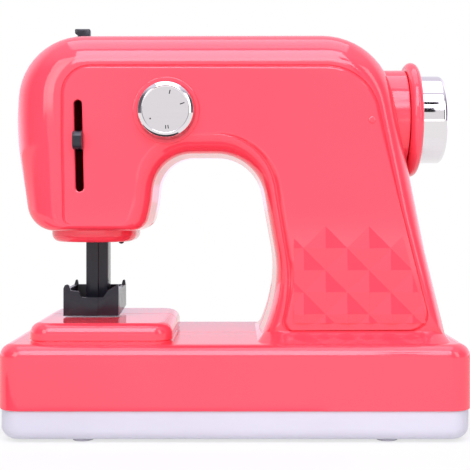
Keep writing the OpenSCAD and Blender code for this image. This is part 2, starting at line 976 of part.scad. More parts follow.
module rear_shell() {
    color(pink)
        difference() {
            union() {
                mirror([0, 1, 0]) arm_half();
                intersection() {
                    lower_body();
                    rear_side();
                }
                bush_rib(1);
                for (p = screw_places) rod_y(p.x, 0, cut - inner_face_y, p.y, boss_outer_r);
                for (z = [frame_top - frame_screw_drop, frame_low + frame_screw_drop])
                    rod_y(frame_x, frame_wall_y, cut - inner_face_y, z, boss_r);
            }
            shared_cuts();
            for (p = screw_places) {
                rod_y(p.x, -cut, arm_half + cut, p.y, screw_r + air);
                rod_y(p.x, screw_seat, arm_half + cut, p.y, screw_head_r + 2 * air);
            }
            for (z = [frame_top - frame_screw_drop, frame_low + frame_screw_drop])
                rod_y(frame_x, frame_wall_y - cut, frame_wall_y + screw_seat, z, pilot_r);
        }
}

// White tray with a rounded lower edge, battery bay, switch opening and screw holes
module bottom_tray() {
    x = half_l - tray_inset;
    y = half_d - tray_inset;
    corner = base_corner - tray_inset;
    ledge = door_ear + bay_wall;
    color(white)
        difference() {
            union() {
                loft(concat(
                    bottom_edge(-x, x, -y, y, corner, tray_round, foot_h),
                    [
                        level_ring(-x, x, -y, y, corner, 0, tray_top),
                        level_ring(-x, x, -y, y, corner, wall, tray_top),
                        level_ring(-x, x, -y, y, corner, wall, floor_top + tray_round),
                        level_ring(-x, x, -y, y, corner, tray_round, floor_top)
                    ]
                ));
                block(
                    [bay_x0 - bay_wall, -bay_half_w - bay_wall, floor_top - cut],
                    [bay_x1 + bay_wall, bay_half_w + bay_wall, bay_top + bay_wall]
                );
                rod_z(door_screw_x, 0, floor_top - cut, foot_h + door_screw_l + wall, door_boss_r);
                for (p = tray_places) rod_z(p.x, p.y, floor_top - cut, tray_top, tray_boss_r);
            }
            block([bay_x0, -bay_half_w, foot_h - cut], [bay_x1, bay_half_w, bay_top]);
            block(
                [bay_x1 - cut, -bay_half_w, foot_h - cut],
                [bay_x1 + ledge, bay_half_w, foot_h + door_ear_t + air]
            );
            for (s = [-1, 1])
                block(
                    [bay_x0 - bay_wall - cut, s * cell_y - door_hook_w / 2 - air, floor_top],
                    [bay_x0 + cut, s * cell_y + door_hook_w / 2 + air, floor_top + door_hook_t + 2 * air]
                );
            rod_z(door_screw_x, 0, foot_h - cut, foot_h + door_screw_l + cut, pilot_r);
            block(
                [
                    switch_x - slider_l / 2 - slider_play,
                    -slider_w / 2 - slider_play,
                    foot_h - cut
                ],
                [
                    switch_x + slider_l / 2 + slider_travel + slider_play,
                    slider_w / 2 + slider_play,
                    floor_top + cut
                ]
            );
            for (p = tray_places) {
                rod_z(p.x, p.y, foot_h - cut, tray_top + cut, screw_r + air);
                rod_z(p.x, p.y, foot_h - cut, floor_top + tray_screw_recess, screw_head_r + air);
            }
        }
}

module feet() {
    color(grey)
        for (sx = [-1, 1])
            for (sy = [-1, 1])
                rod_z(sx * (half_l - foot_in_x), sy * (half_d - foot_in_y), 0, foot_h, foot_r);
}

// Door of the battery bay: plate, ear under the screw and two hooks that reach behind the floor
module battery_door() {
    y = bay_half_w - air;
    hook_low = floor_top + air / 2;
    color(white)
        difference() {
            union() {
                block([bay_x0 + air, -y, foot_h], [bay_x1 - air, y, foot_h + door_t]);
                block([bay_x1 - 2 * air, -y, foot_h], [bay_x1 + door_ear, y, foot_h + door_ear_t]);
                for (s = [-1, 1]) {
                    block(
                        [bay_x0 + air, s * cell_y - door_hook_w / 2, foot_h + door_t - cut],
                        [bay_x0 + door_hook, s * cell_y + door_hook_w / 2, hook_low + door_hook_t]
                    );
                    block(
                        [bay_x0 - door_hook, s * cell_y - door_hook_w / 2, hook_low],
                        [bay_x0 + door_hook, s * cell_y + door_hook_w / 2, hook_low + door_hook_t]
                    );
                }
            }
            rod_z(door_screw_x, 0, foot_h - cut, foot_h + door_t, screw_r + air);
        }
}

// Pan-head screw along Z with its seat at height z, its shank going up
module screw_up(x, y, z, l) {
    rod_z(x, y, z - screw_head_h / 2, z, screw_head_r);
    rod_z(x, y, z - cut, z + l, screw_r);
}

module door_screw() {
    color(steel) screw_up(door_screw_x, 0, foot_h, door_screw_l);
}

module battery_cells() {
    color(grey)
        for (s = [-1, 1]) {
            x0 = bay_x - cell_l / 2;
            rod_x(x0, x0 + cell_l, s * cell_y, cell_z, cell_r);
            tip = s > 0 ? x0 + cell_l - cut : x0 - cell_tip_l;
            rod_x(tip, tip + cell_tip_l + cut, s * cell_y, cell_z, cell_tip_r);
        }
}

// Wire tube wound up a cone, closed at both ends
module wound_cone(length) {
    rings = spring_turn_count * spring_ring_count;
    points = [
        for (k = [0:rings])
            let (
                a = 360 * k / spring_ring_count,
                r = mix(spring_r, spring_top_r, k / rings),
                h = spring_wire_r + (length - 2 * spring_wire_r) * k / rings
            )
            for (s = [0:spring_side_count - 1])
                let (q = 360 * s / spring_side_count, w = r + spring_wire_r * cos(q))
                    [w * cos(a), w * sin(a), h + spring_wire_r * sin(q)]
    ];
    polyhedron(
        points = points,
        faces = concat(
            [[for (s = [spring_side_count - 1:-1:0]) s]],
            [for (f = ring_sides(spring_side_count, rings + 1)) [f[0], f[2], f[1]]],
            [[for (s = [0:spring_side_count - 1]) rings * spring_side_count + s]]
        ),
        convexity = 10
    );
}

tray_screw_top = floor_top + tray_screw_recess + tray_screw_l;
spring_l = bay_spring + cell_tip_l / 2 - contact_t - 2 * air;

module battery_springs() {
    color(steel) {
        translate([bay_x0 + contact_t + air / 2, cell_y, cell_z])
            rotate([0, 90, 0])
                wound_cone(spring_l);
        translate([bay_x1 - contact_t - air / 2, -cell_y, cell_z])
            rotate([0, -90, 0])
                wound_cone(spring_l);
    }
}

// Two end contacts on one side and one bridge on the other
module battery_contacts() {
    low = cell_z - contact_h / 2;
    high = cell_z + contact_h / 2;
    color(brass) {
        for (s = [-1, 1])
            block(
                [bay_x0 + seat_fit, s * cell_y - contact_w / 2, low],
                [bay_x0 + contact_t, s * cell_y + contact_w / 2, high]
            );
        block(
            [bay_x1 - contact_t, -cell_y - contact_w / 2, low],
            [bay_x1 - seat_fit, cell_y + contact_w / 2, high]
        );
    }
}

module switch_body() {
    low = floor_top + slider_play;
    middle = switch_x + slider_travel / 2;
    color(steel)
        difference() {
            block(
                [middle - switch_l / 2, -switch_w / 2, floor_top],
                [middle + switch_l / 2, switch_w / 2, floor_top + switch_h]
            );
            block(
                [
                    switch_x - slider_l / 2 - slider_play,
                    -slider_w / 2 - slider_play,
                    floor_top - cut
                ],
                [
                    switch_x + slider_l / 2 + slider_travel + slider_play,
                    slider_w / 2 + slider_play,
                    low + switch_h / 2 + slider_play
                ]
            );
        }
}

module switch_slider() {
    color(black)
        block(
            [switch_x - slider_l / 2, -slider_w / 2, foot_h + slider_recess],
            [switch_x + slider_l / 2, slider_w / 2, floor_top + switch_h / 2]
        );
}

module shell_screws() {
    color(steel)
        for (p = screw_places) {
            rod_y(p.x, screw_seat - screw_l, screw_seat + cut, p.y, screw_r);
            rod_y(p.x, screw_seat, screw_seat + screw_head_h, p.y, screw_head_r);
        }
}

module tray_screws() {
    color(steel) for (p = tray_places) screw_up(p.x, p.y, floor_top + tray_screw_recess, tray_screw_l);
}

// Hook that leads the thread over the arm, on a stem clamped between the halves
module thread_guide() {
    x0 = hook_x - hook_w / 2;
    x1 = hook_x + hook_w / 2;
    top = arm_top + hook_h;
    color(black) {
        translate([0, hook_d / 2, 0])
            rotate([90, 0, 0])
                linear_extrude(hook_d)
                    polygon([
                        [x0 + hook_lip, arm_top + seat_fit],
                        [x1, arm_top + seat_fit],
                        [x1, top - hook_round],
                        [x1 - hook_round, top],
                        [x0 + hook_round, top],
                        [x0, top - hook_round],
                        [x0, top - hook_lip_h],
                        [x0 + hook_lip, top - hook_lip_h]
                    ]);
        block(
            [hook_x - hook_stem / 2, -hook_stem / 2, arm_top - wall - hook_anchor_t],
            [hook_x + hook_stem / 2, hook_stem / 2, arm_top + cut]
        );
        block(
            [hook_x - hook_anchor / 2, -hook_anchor / 2, arm_top - wall - draft - hook_anchor_t],
            [hook_x + hook_anchor / 2, hook_anchor / 2, arm_top - wall - draft]
        );
    }
}

// Chrome dial with a rounded rim, on a stem through the panel
module stitch_dial() {
    back = face_y - air;
    front = face_y - dial_proud;
    stem_end = inner_face_y + dial_boss_l + 3 * dial_clip_t;
    color(chrome) {
        translate([dial_x, back, dial_z])
            rotate([90, 0, 0])
                difference() {
                    rotate_extrude() {
                        square([dial_r - dial_edge, back - front]);
                        square([dial_r, back - front - dial_edge]);
                        translate([dial_r - dial_edge, back - front - dial_edge]) circle(r = dial_edge);
                    }
                    translate([0, 0, -cut]) cylinder(h = back - front - wall + cut, r = dial_r - wall);
                }
        rod_y(dial_x, front + wall - cut, stem_end, dial_z, dial_stem_r);
    }
}

module dial_clip() {
    y = inner_face_y + dial_boss_l + air;
    color(steel)
        difference() {
            rod_y(dial_x, y, y + dial_clip_t, dial_z, dial_boss_r);
            rod_y(dial_x, y - cut, y + dial_clip_t + cut, dial_z, dial_stem_r + seat_fit);
        }
}

// Pink rim with a fully rounded edge
module handwheel_rim() {
    color(pink)
        translate([rim_x0, 0, shaft_z])
            rotate([0, 90, 0])
                rotate_extrude()
                    difference() {
                        union() {
                            square([rim_r - rim_t / 2, rim_t]);
                            translate([rim_r - rim_t / 2, rim_t / 2]) circle(r = rim_t / 2);
                        }
                        translate([0, -rim_t]) square([shaft_r + seat_fit, 3 * rim_t]);
                    }
}

// Chrome knob with a rounded end and a shallow dish
module handwheel_knob() {
    color(chrome)
        translate([rim_x1, 0, shaft_z])
            rotate([0, 90, 0])
                difference() {
                    rotate_extrude() {
                        square([knob_r - knob_round, knob_l]);
                        square([knob_r, knob_l - knob_round]);
                        translate([knob_r - knob_round, knob_l - knob_round]) circle(r = knob_round);
                    }
                    translate([0, 0, knob_l - knob_dish]) cylinder(h = knob_l, r = knob_r - knob_dish_in);
                    difference() {
                        translate([0, 0, -cut])
                            cylinder(h = knob_l - knob_dish - wall + cut, r = knob_r - wall);
                        translate([0, 0, -2 * cut]) cylinder(h = knob_l, r = 2 * shaft_r);
                    }
                    translate([0, 0, -cut])
                        cylinder(h = shaft_right - rim_x1 + cut + air, r = shaft_r + seat_fit);
                }
}

module main_shaft() {
    color(steel) rod_x(shaft_left - crank_t, shaft_right, 0, shaft_z, shaft_r);
}

// Plain bushes, one in the rib behind the crank and one in the drum's end wall
module shaft_bushes() {
    color(brass)
        for (p = [[bush_x - rib_t / 2, rib_t], [drum_end - drum_wall, drum_wall]])
            difference() {
                rod_x(p[0], p[0] + p[1], 0, shaft_z, bush_r);
                rod_x(p[0] - cut, p[0] + p[1] + cut, 0, shaft_z, shaft_r + run_fit);
            }
}

function involute(a) = tan(a) * 180 / PI - a;

// Involute gear outline with one tooth centred on the X axis
function gear_points(teeth) =
    let (
        pitch_r = gear_m * teeth / 2,
        base_r = pitch_r * cos(mesh_angle),
        tip_r = pitch_r + gear_m * tooth_tip_share,
        root_r = pitch_r - gear_m * tooth_root_share,
        half = 90 / teeth - backlash / pitch_r * 90 / PI + involute(mesh_angle),
        low_r = max(base_r, root_r),
        flank = [for (k = [0:3]) mix(low_r, tip_r, k / 3)],
        lean = [for (r = flank) half - involute(acos(min(1, base_r / r)))]
    )
    [
        for (t = [0:teeth - 1])
            let (a = 360 * t / teeth)
                each concat(
                    [root_r * [cos(a - half), sin(a - half)]],
                    [for (k = [0:3]) flank[k] * [cos(a - lean[k]), sin(a - lean[k])]],
                    [for (k = [3:-1:0]) flank[k] * [cos(a + lean[k]), sin(a + lean[k])]],
                    [root_r * [cos(a + half), sin(a + half)]]
                )
    ];

// Gear on an X axis, with a tooth pointing down, or a gap pointing up
module gear_x(teeth, x0, x1, z, gap_up, bore) {
    translate([x0, 0, z])
        rotate([0, 90, 0])
            difference() {
                rotate([0, 0, gap_up ? 180 + 180 / teeth : 0])
                    linear_extrude(x1 - x0)
                        polygon(gear_points(teeth));
                translate([0, 0, -cut]) cylinder(h = x1 - x0 + 2 * cut, r = bore);
            }
}

module drive_gear() {
    color(nylon) gear_x(large_teeth, drive_gear_x, drive_gear_end, shaft_z, false, shaft_r + seat_fit);
}

module idler_gear() {
    color(nylon) {
        gear_x(
            small_teeth, drive_gear_x - small_gear_over, idler_large_x, idler_z,
            true, idler_pin_r + run_fit
        );
        gear_x(large_teeth, idler_large_x, idler_large_end, idler_z, false, idler_pin_r + run_fit);
    }
}

module idler_pin() {
    color(steel) rod_x(frame_x0, frame_end, 0, idler_z, idler_pin_r);
}

module motor_pinion() {
    color(brass)
        gear_x(
            small_teeth, idler_large_x - small_gear_over, idler_large_end + small_gear_over, motor_z,
            true, motor_shaft_r + seat_fit
        );
}

module motor_shaft() {
    x0 = idler_large_x - small_gear_over;
    color(steel) rod_x(x0, frame_end + motor_bore_l - air, 0, motor_z, motor_shaft_r);
}

// Small can motor with flats front and back
module drive_motor() {
    color(steel)
        difference() {
            union() {
                intersection() {
                    rod_x(frame_end, frame_end + motor_l, 0, motor_z, motor_r);
                    block(
                        [frame_end, -motor_flat / 2, motor_z - motor_r],
                        [frame_end + motor_l, motor_flat / 2, motor_z + motor_r]
                    );
                }
                rod_x(frame_end - motor_boss_l, frame_end + cut, 0, motor_z, motor_boss_r);
            }
            rod_x(
                frame_end - motor_boss_l - cut, frame_end + motor_bore_l, 0, motor_z,
                motor_shaft_r + run_fit
            );
        }
}

// Two plates joined by a back wall carry the idler pin and the motor
module gear_frame() {
    color(nylon)
        difference() {
            union() {
                for (x = [frame_x0, frame_x1])
                    block([x, -frame_half / 2, frame_low], [x + frame_t, frame_wall_y, frame_top]);
                block([frame_x0, frame_half, frame_low], [frame_end, frame_wall_y, frame_top]);
            }
            rod_x(frame_x0 - cut, frame_end + cut, 0, shaft_z, shaft_r + frame_hole);
            rod_x(frame_x0 - cut, frame_end + cut, 0, idler_z, idler_pin_r + seat_fit);
            rod_x(frame_x0 - cut, frame_end + cut, 0, motor_z, motor_boss_r + seat_fit);
            for (z = [frame_top - frame_screw_drop, frame_low + frame_screw_drop])
                rod_y(frame_x, frame_half - cut, frame_wall_y + cut, z, screw_r + air);
        }
}

module frame_screws() {
    color(steel)
        for (z = [frame_top - frame_screw_drop, frame_low + frame_screw_drop]) {
            rod_y(frame_x, frame_half - frame_gap, frame_half, z, screw_head_r);
            rod_y(frame_x, frame_half - cut, frame_wall_y + screw_seat - air, z, screw_r);
        }
}

module crank_disc() {
    color(nylon)
        difference() {
            rod_x(crank_x, shaft_left, 0, shaft_z, crank_r);
            rod_x(crank_x - cut, shaft_left + cut, 0, shaft_z, shaft_r + seat_fit);
            rod_x(crank_x - cut, shaft_left + cut, 0, yoke_z, crank_pin_r + seat_fit);
        }
}

module crank_pin() {
    color(steel) rod_x(crank_x - crank_pin_l, shaft_left, 0, yoke_z, crank_pin_r);
}

// Carriage over the needle bar with a cross slot for the crank pin
module yoke_carriage() {
    slot_h = crank_pin_r + air;
    color(black)
        difference() {
            union() {
                block(
                    [yoke_x0, -yoke_half_w, yoke_z - slot_h - yoke_edge],
                    [yoke_x1, yoke_half_w, carriage_top]
                );
                block(
                    [carriage_x0, -carriage_d / 2, carriage_low_z],
                    [yoke_x0 + cut, carriage_d / 2, carriage_top]
                );
            }
            block(
                [yoke_x0 - cut, -yoke_slot_half_w, yoke_z - slot_h],
                [yoke_x1 + cut, yoke_slot_half_w, yoke_z + slot_h]
            );
            block(
                [needle_x - neck_w / 2 - seat_fit, -neck_d / 2 - seat_fit, carriage_low_z - cut],
                [needle_x + neck_w / 2 + seat_fit, neck_d / 2 + seat_fit, bar_top + seat_fit]
            );
            block(
                [slot_x - lever_neck_w / 2 - seat_fit, -carriage_d, lever_z - lever_h / 2 - seat_fit],
                [slot_x + lever_neck_w / 2 + seat_fit, -carriage_d / 4, lever_z + lever_h / 2 + seat_fit]
            );
        }
}

// Square bar with a groove down its front and a reduced neck in the carriage
module needle_bar() {
    low = presser_low + presser_floor;
    color(black)
        difference() {
            union() {
                block(
                    [needle_x - bar_w / 2, -bar_d / 2, low],
                    [needle_x + bar_w / 2, bar_d / 2, carriage_low_z]
                );
                block(
                    [needle_x - neck_w / 2, -neck_d / 2, carriage_low_z - cut],
                    [needle_x + neck_w / 2, neck_d / 2, bar_top]
                );
            }
            block(
                [needle_x + bar_groove_w / 2, -bar_d, low - cut],
                [needle_x + bar_w, bar_groove_d - bar_d / 2, carriage_low_z + cut]
            );
        }
}

// Open box with a notched front wall, a rib and pointed corners
module presser_foot() {
    x0 = presser_x - presser_w / 2;
    x1 = presser_x + presser_w / 2;
    y0 = -presser_d / 2;
    y1 = presser_d / 2;
    side_top = presser_low + presser_side_h;
    color(black) {
        difference() {
            block([x0, y0 + presser_wall - cut, presser_low], [x1, y1, side_top]);
            block(
                [x0 + presser_wall, y0, presser_low + presser_floor],
                [x1 - presser_wall, y1 - presser_wall, side_top + cut]
            );
            translate([x0 - cut, 0, presser_low])
                rotate([90, 0, 90])
                    linear_extrude(presser_w + 2 * cut)
                        polygon([[y0 + presser_wall, -cut], [y1 + cut, -cut], [y1 + cut, presser_heel]]);
        }
        translate([x0, y0 + presser_wall, presser_low])
            rotate([90, 0, 0])
                linear_extrude(presser_wall)
                    polygon([for (p = presser_front_shares) [p.x * presser_w, p.y * presser_h]]);
        block(
            [presser_x - presser_rib_w / 2, y0 - presser_rib_proud, presser_low],
            [presser_x + presser_rib_w / 2, y0 + cut, presser_low + presser_rib_h]
        );
        for (x = [x0, x1 - prong_w])
            translate([x, y1, side_top - cut])
                rotate([90, 0, 0])
                    linear_extrude(presser_wall)
                        polygon([
                            for (p = prong_shares)
                                [p.x * prong_w, p.y * (presser_h - presser_side_h + cut)]
                        ]);
    }
}

// Lever that reaches from the carriage through the slot and ends in a wider finger tip
module take_up_lever() {
    tip = face_y - lever_proud;
    back = face_y - 2 * air;
    r = lever_tip_r;
    color(black) {
        block(
            [slot_x - lever_neck_w / 2, back - cut, lever_z - lever_h / 2],
            [slot_x + lever_neck_w / 2, -carriage_d / 4 - seat_fit, lever_z + lever_h / 2]
        );
        translate([slot_x - lever_w / 2, 0, lever_z])
            rotate([90, 0, 90])
                linear_extrude(lever_w) {
                    translate([tip + r, -lever_h / 2]) square([back - tip - r, lever_h]);
                    translate([tip, r - lever_h / 2]) square([back - tip, lever_h - 2 * r]);
                    for (s = [-1, 1]) translate([tip + r, s * (lever_h / 2 - r)]) circle(r = r);
                }
    }
}

// Guide sleeve in the collar, with a flange on the head's floor
module bar_guide() {
    top = head_low + wall + draft + guide_over;
    color(nylon)
        difference() {
            union() {
                block(
                    [needle_x - guide_w / 2, -guide_d / 2, collar_low + cut],
                    [needle_x + guide_w / 2, guide_d / 2, top]
                );
                block(
                    [needle_x - flange_w / 2, -flange_d / 2, top - cut],
                    [needle_x + flange_w / 2, flange_d / 2, top + guide_flange_t]
                );
            }
            block(
                [needle_x - guide_hole_w / 2, -guide_hole_d / 2, collar_low - cut],
                [needle_x + guide_hole_w / 2, guide_hole_d / 2, top + guide_flange_t + cut]
            );
        }
}

module work_lamp() {
    low = collar_low - lamp_proud;
    color(black) {
        rod_z(lamp_x, lamp_y, low + lamp_r, low + lamp_l + lamp_r, lamp_r);
        translate([lamp_x, lamp_y, low + lamp_r]) sphere(r = lamp_r);
    }
}

front_shell();
rear_shell();
bottom_tray();
feet();
battery_door();
door_screw();
battery_cells();
battery_springs();
battery_contacts();
switch_body();
switch_slider();
shell_screws();
tray_screws();
thread_guide();
stitch_dial();
dial_clip();
handwheel_rim();
handwheel_knob();
main_shaft();
shaft_bushes();
drive_gear();
idler_gear();
idler_pin();
drive_motor();
motor_shaft();
motor_pinion();
gear_frame();
frame_screws();
crank_disc();
crank_pin();
yoke_carriage();
needle_bar();
presser_foot();
take_up_lever();
bar_guide();
work_lamp();
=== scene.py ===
# %% [markdown]
# # Toy sewing machine
# A pretend-play sewing machine: two glossy pink half shells on a white tray, a black needle
# bar and presser foot, a chrome dial and a pink and chrome handwheel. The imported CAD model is
# loaded first and stays the fixed frame: each piece made here lies where its solid lies, in
# the same axes, and moves with the same body.

# %% Load the frame
import json
import math

import bmesh
import bpy
from mathutils import Matrix, Vector


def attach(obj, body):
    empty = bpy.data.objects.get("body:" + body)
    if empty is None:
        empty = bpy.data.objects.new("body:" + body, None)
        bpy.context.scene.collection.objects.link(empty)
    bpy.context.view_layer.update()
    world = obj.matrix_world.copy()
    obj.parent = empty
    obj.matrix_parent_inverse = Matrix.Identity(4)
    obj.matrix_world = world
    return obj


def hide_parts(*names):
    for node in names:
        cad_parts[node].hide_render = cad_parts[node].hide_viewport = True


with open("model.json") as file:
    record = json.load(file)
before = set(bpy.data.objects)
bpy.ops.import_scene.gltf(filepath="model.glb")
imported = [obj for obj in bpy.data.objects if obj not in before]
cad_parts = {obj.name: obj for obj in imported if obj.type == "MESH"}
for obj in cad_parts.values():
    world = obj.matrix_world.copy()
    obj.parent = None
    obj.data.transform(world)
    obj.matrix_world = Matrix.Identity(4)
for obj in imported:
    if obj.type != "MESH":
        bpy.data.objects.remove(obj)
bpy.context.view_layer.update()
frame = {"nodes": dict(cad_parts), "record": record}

# %% [markdown]
# ## Grain and marks that several finishes share
# Injection-moulded plastic is never quite even: its colour drifts a little along the flow, its
# skin has a fine texture, and fingers leave dull patches. These effects are built once as node
# groups on Object coordinates, and each material takes them with its own values. The groups
# give out only masks and heights; the shader stays in the material.

# %% Helper for node groups
def new_group(name, inputs, outputs):
    group = bpy.data.node_groups.new(name, "ShaderNodeTree")
    for label, value in inputs.items():
        socket = group.interface.new_socket(label, in_out="INPUT", socket_type="NodeSocketFloat")
        socket.default_value = value
    for label in outputs:
        group.interface.new_socket(label, in_out="OUTPUT", socket_type="NodeSocketFloat")
    start = group.nodes.new("NodeGroupInput")
    end = group.nodes.new("NodeGroupOutput")
    return group, start, end


def add_noise(tree, vector, scale, detail, rough=0.5):
    noise = tree.nodes.new("ShaderNodeTexNoise")
    noise.inputs["Detail"].default_value = detail
    noise.inputs["Roughness"].default_value = rough
    tree.links.new(vector, noise.inputs["Vector"])
    if isinstance(scale, (int, float)):
        noise.inputs["Scale"].default_value = scale
    else:
        tree.links.new(scale, noise.inputs["Scale"])
    return noise.outputs["Fac"]


def remap(tree, value, low, high, to_low=0.0, to_high=1.0):
    node = tree.nodes.new("ShaderNodeMapRange")
    limits = {"From Min": low, "From Max": high, "To Min": to_low, "To Max": to_high}
    for label, number in limits.items():
        node.inputs[label].default_value = number
    tree.links.new(value, node.inputs["Value"])
    return node.outputs["Result"]


# %% Moulded skin: flow tone, fine texture and finger marks
# A range is the part of the noise that a mask is stretched over.
FLOW_RANGE, MARK_RANGE, DULL_RANGE, DULL_SCALE = (0.3, 0.7), (0.5, 0.72), (0.45, 0.7), 45.0
moulded_skin, skin_in, skin_out = new_group(
    "moulded_skin", {"Flow Scale": 9.0, "Texture Scale": 2600.0, "Mark Scale": 28.0},
    ["Flow", "Texture", "Marks"])
place = moulded_skin.nodes.new("ShaderNodeTexCoord").outputs["Object"]
flow = add_noise(moulded_skin, place, skin_in.outputs["Flow Scale"], 2.0)
texture = add_noise(moulded_skin, place, skin_in.outputs["Texture Scale"], 2.0)
marks = add_noise(moulded_skin, place, skin_in.outputs["Mark Scale"], 4.0, 0.6)
moulded_skin.links.new(remap(moulded_skin, flow, *FLOW_RANGE), skin_out.inputs["Flow"])
moulded_skin.links.new(texture, skin_out.inputs["Texture"])
moulded_skin.links.new(remap(moulded_skin, marks, *MARK_RANGE), skin_out.inputs["Marks"])
print("group", moulded_skin.name, "with", len(moulded_skin.nodes), "nodes")

# %% Drawn metal: fine lines along one axis, and dull spots
drawn_metal, metal_in, metal_out = new_group(
    "drawn_metal", {"Along X": 60.0, "Along Y": 900.0, "Along Z": 900.0}, ["Lines", "Dull"])
place = drawn_metal.nodes.new("ShaderNodeTexCoord").outputs["Object"]
stretch = drawn_metal.nodes.new("ShaderNodeCombineXYZ")
for label, axis in (("Along X", "X"), ("Along Y", "Y"), ("Along Z", "Z")):
    drawn_metal.links.new(metal_in.outputs[label], stretch.inputs[axis])
scaled = drawn_metal.nodes.new("ShaderNodeVectorMath")
scaled.operation = "MULTIPLY"
drawn_metal.links.new(place, scaled.inputs[0])
drawn_metal.links.new(stretch.outputs["Vector"], scaled.inputs[1])
lines = add_noise(drawn_metal, scaled.outputs["Vector"], 1.0, 3.0, 0.6)
dull = add_noise(drawn_metal, place, DULL_SCALE, 3.0, 0.55)
drawn_metal.links.new(lines, metal_out.inputs["Lines"])
drawn_metal.links.new(remap(drawn_metal, dull, *DULL_RANGE), metal_out.inputs["Dull"])
print("group", drawn_metal.name, "with", len(drawn_metal.nodes), "nodes")

# %% [markdown]
# ## The finishes
# Every finish is a Principled shader. A colour ramp between two close colours follows the
# flow or the drawn lines, the roughness follows the marks, and a weak bump gives the skin its
# texture. Colours are written as they are on the object, in plain light. The two numbers
# after the colours are the roughness where the surface is clean and where it is dulled,
# and the third is the strength of the bump.

# %% Finish builders
BUMP_HEIGHT = 0.0001


def srgb(red, green, blue):
    channels = [c / 255 for c in (red, green, blue)]
    return [c / 12.92 if c <= 0.04045 else ((c + 0.055) / 1.055) ** 2.4 for c in channels] + [1.0]


def new_material(name):
    material = bpy.data.materials.new(name)
    material.use_nodes = True
    shader = material.node_tree.nodes["Principled BSDF"]
    return material, material.node_tree, shader


def add_ramp(tree, value, low, high):
    ramp = tree.nodes.new("ShaderNodeValToRGB")
    ramp.color_ramp.elements[0].color = low
    ramp.color_ramp.elements[1].color = high
    tree.links.new(value, ramp.inputs["Fac"])
    return ramp.outputs["Color"]


def add_bump(tree, height, shader, strength, distance):
    bump = tree.nodes.new("ShaderNodeBump")
    bump.inputs["Strength"].default_value = strength
    bump.inputs["Distance"].default_value = distance
    tree.links.new(height, bump.inputs["Height"])
    tree.links.new(bump.outputs["Normal"], shader.inputs["Normal"])


def plastic(name, dark, light, gloss, dulled, bump, ior=1.49, texture_scale=2600.0):
    material, tree, shader = new_material(name)
    skin = tree.nodes.new("ShaderNodeGroup")
    skin.node_tree = moulded_skin
    skin.inputs["Texture Scale"].default_value = texture_scale
    tone = add_ramp(tree, skin.outputs["Flow"], dark, light)
    dulling = remap(tree, skin.outputs["Marks"], 0.0, 1.0, gloss, dulled)
    tree.links.new(tone, shader.inputs["Base Color"])
    tree.links.new(dulling, shader.inputs["Roughness"])
    add_bump(tree, skin.outputs["Texture"], shader, bump, BUMP_HEIGHT)
    shader.inputs["IOR"].default_value = ior
    return material


def metal(name, dark, light, smooth, rough, bump):
    material, tree, shader = new_material(name)
    grain = tree.nodes.new("ShaderNodeGroup")
    grain.node_tree = drawn_metal
    tone = add_ramp(tree, grain.outputs["Lines"], dark, light)
    dulling = remap(tree, grain.outputs["Dull"], 0.0, 1.0, smooth, rough)
    tree.links.new(tone, shader.inputs["Base Color"])
    tree.links.new(dulling, shader.inputs["Roughness"])
    add_bump(tree, grain.outputs["Lines"], shader, bump, BUMP_HEIGHT)
    shader.inputs["Metallic"].default_value = 1.0
    return material


# %% The nine finishes of the record
finishes = {
    "pink_shell": plastic(
        "pink_gloss", srgb(242, 67, 84), srgb(245, 72, 89), 0.08, 0.13, 0.02, 1.58),
    "white_tray": plastic(
        "white_satin", srgb(194, 195, 203), srgb(201, 202, 210), 0.34, 0.42, 0.05),
    "black_plastic": plastic(
        "black_gloss", srgb(29, 29, 37), srgb(34, 34, 43), 0.2, 0.32, 0.03, 1.44),
    "chrome": metal(
        "bright_chrome", srgb(228, 224, 226), srgb(233, 229, 231), 0.04, 0.08, 0.0),
    "steel": metal(
        "plated_steel", srgb(176, 178, 184), srgb(205, 206, 210), 0.24, 0.36, 0.08),
    "brass": metal(
        "plain_brass", srgb(190, 150, 74), srgb(212, 172, 92), 0.26, 0.4, 0.08),
    "nylon": plastic(
        "natural_nylon", srgb(234, 231, 220), srgb(244, 242, 233), 0.45, 0.55, 0.08),
    "foot_rubber": plastic(
        "grey_rubber", srgb(176, 173, 182), srgb(196, 193, 202), 0.7, 0.85, 0.25, 1.45, 1800.0),
    "cell_sleeve": plastic(
        "cell_wrap", srgb(92, 93, 104), srgb(110, 111, 122), 0.28, 0.4, 0.04),
}
for row in frame["record"]["subparts"]:
    for held in frame["nodes"][row["node"]].material_slots:
        held.material = finishes[row["material_slot"]]
print("finishes:", ", ".join(m.name for m in finishes.values()))

# %% [markdown]
# ## Drawing a form from ring to ring
# The shells are lofts: a ring of points on the middle plane is drawn outwards and over the
# rounded edge until it lies flat on the face. In the editor this is edge extrusion, ring after
# ring, and here it is the same operator: each step extrudes the ring's edges, and the new
# ring's points move to their place. All shapes are drawn in millimetres and scaled to metres at
# the end, because the parts are far smaller than a metre.

# %% Ring helpers
def ring_edges(bm, ring, closed=True):
    last = len(ring) if closed else len(ring) - 1
    return [bm.edges.get((ring[i], ring[(i + 1) % len(ring)])) for i in range(last)]


def start_ring(bm, points, closed=True):
    ring = [bm.verts.new(p) for p in points]
    for i in range(len(ring) if closed else len(ring) - 1):
        bm.edges.new((ring[i], ring[(i + 1) % len(ring)]))
    return ring


def draw_ring(bm, ring, points, closed=True):
    out = bmesh.ops.extrude_edge_only(bm, edges=ring_edges(bm, ring, closed))
    made = {g for g in out["geom"] if isinstance(g, bmesh.types.BMVert)}
    following = []
    for vert, point in zip(ring, points):
        twin = next(e.other_vert(vert) for e in vert.link_edges if e.other_vert(vert) in made)
        twin.co = point
        following.append(twin)
    return following


def draw_rings(bm, rings, closed=True):
    ring = start_ring(bm, rings[0], closed)
    first = ring
    for points in rings[1:]:
        ring = draw_ring(bm, ring, points, closed)
    return first, ring


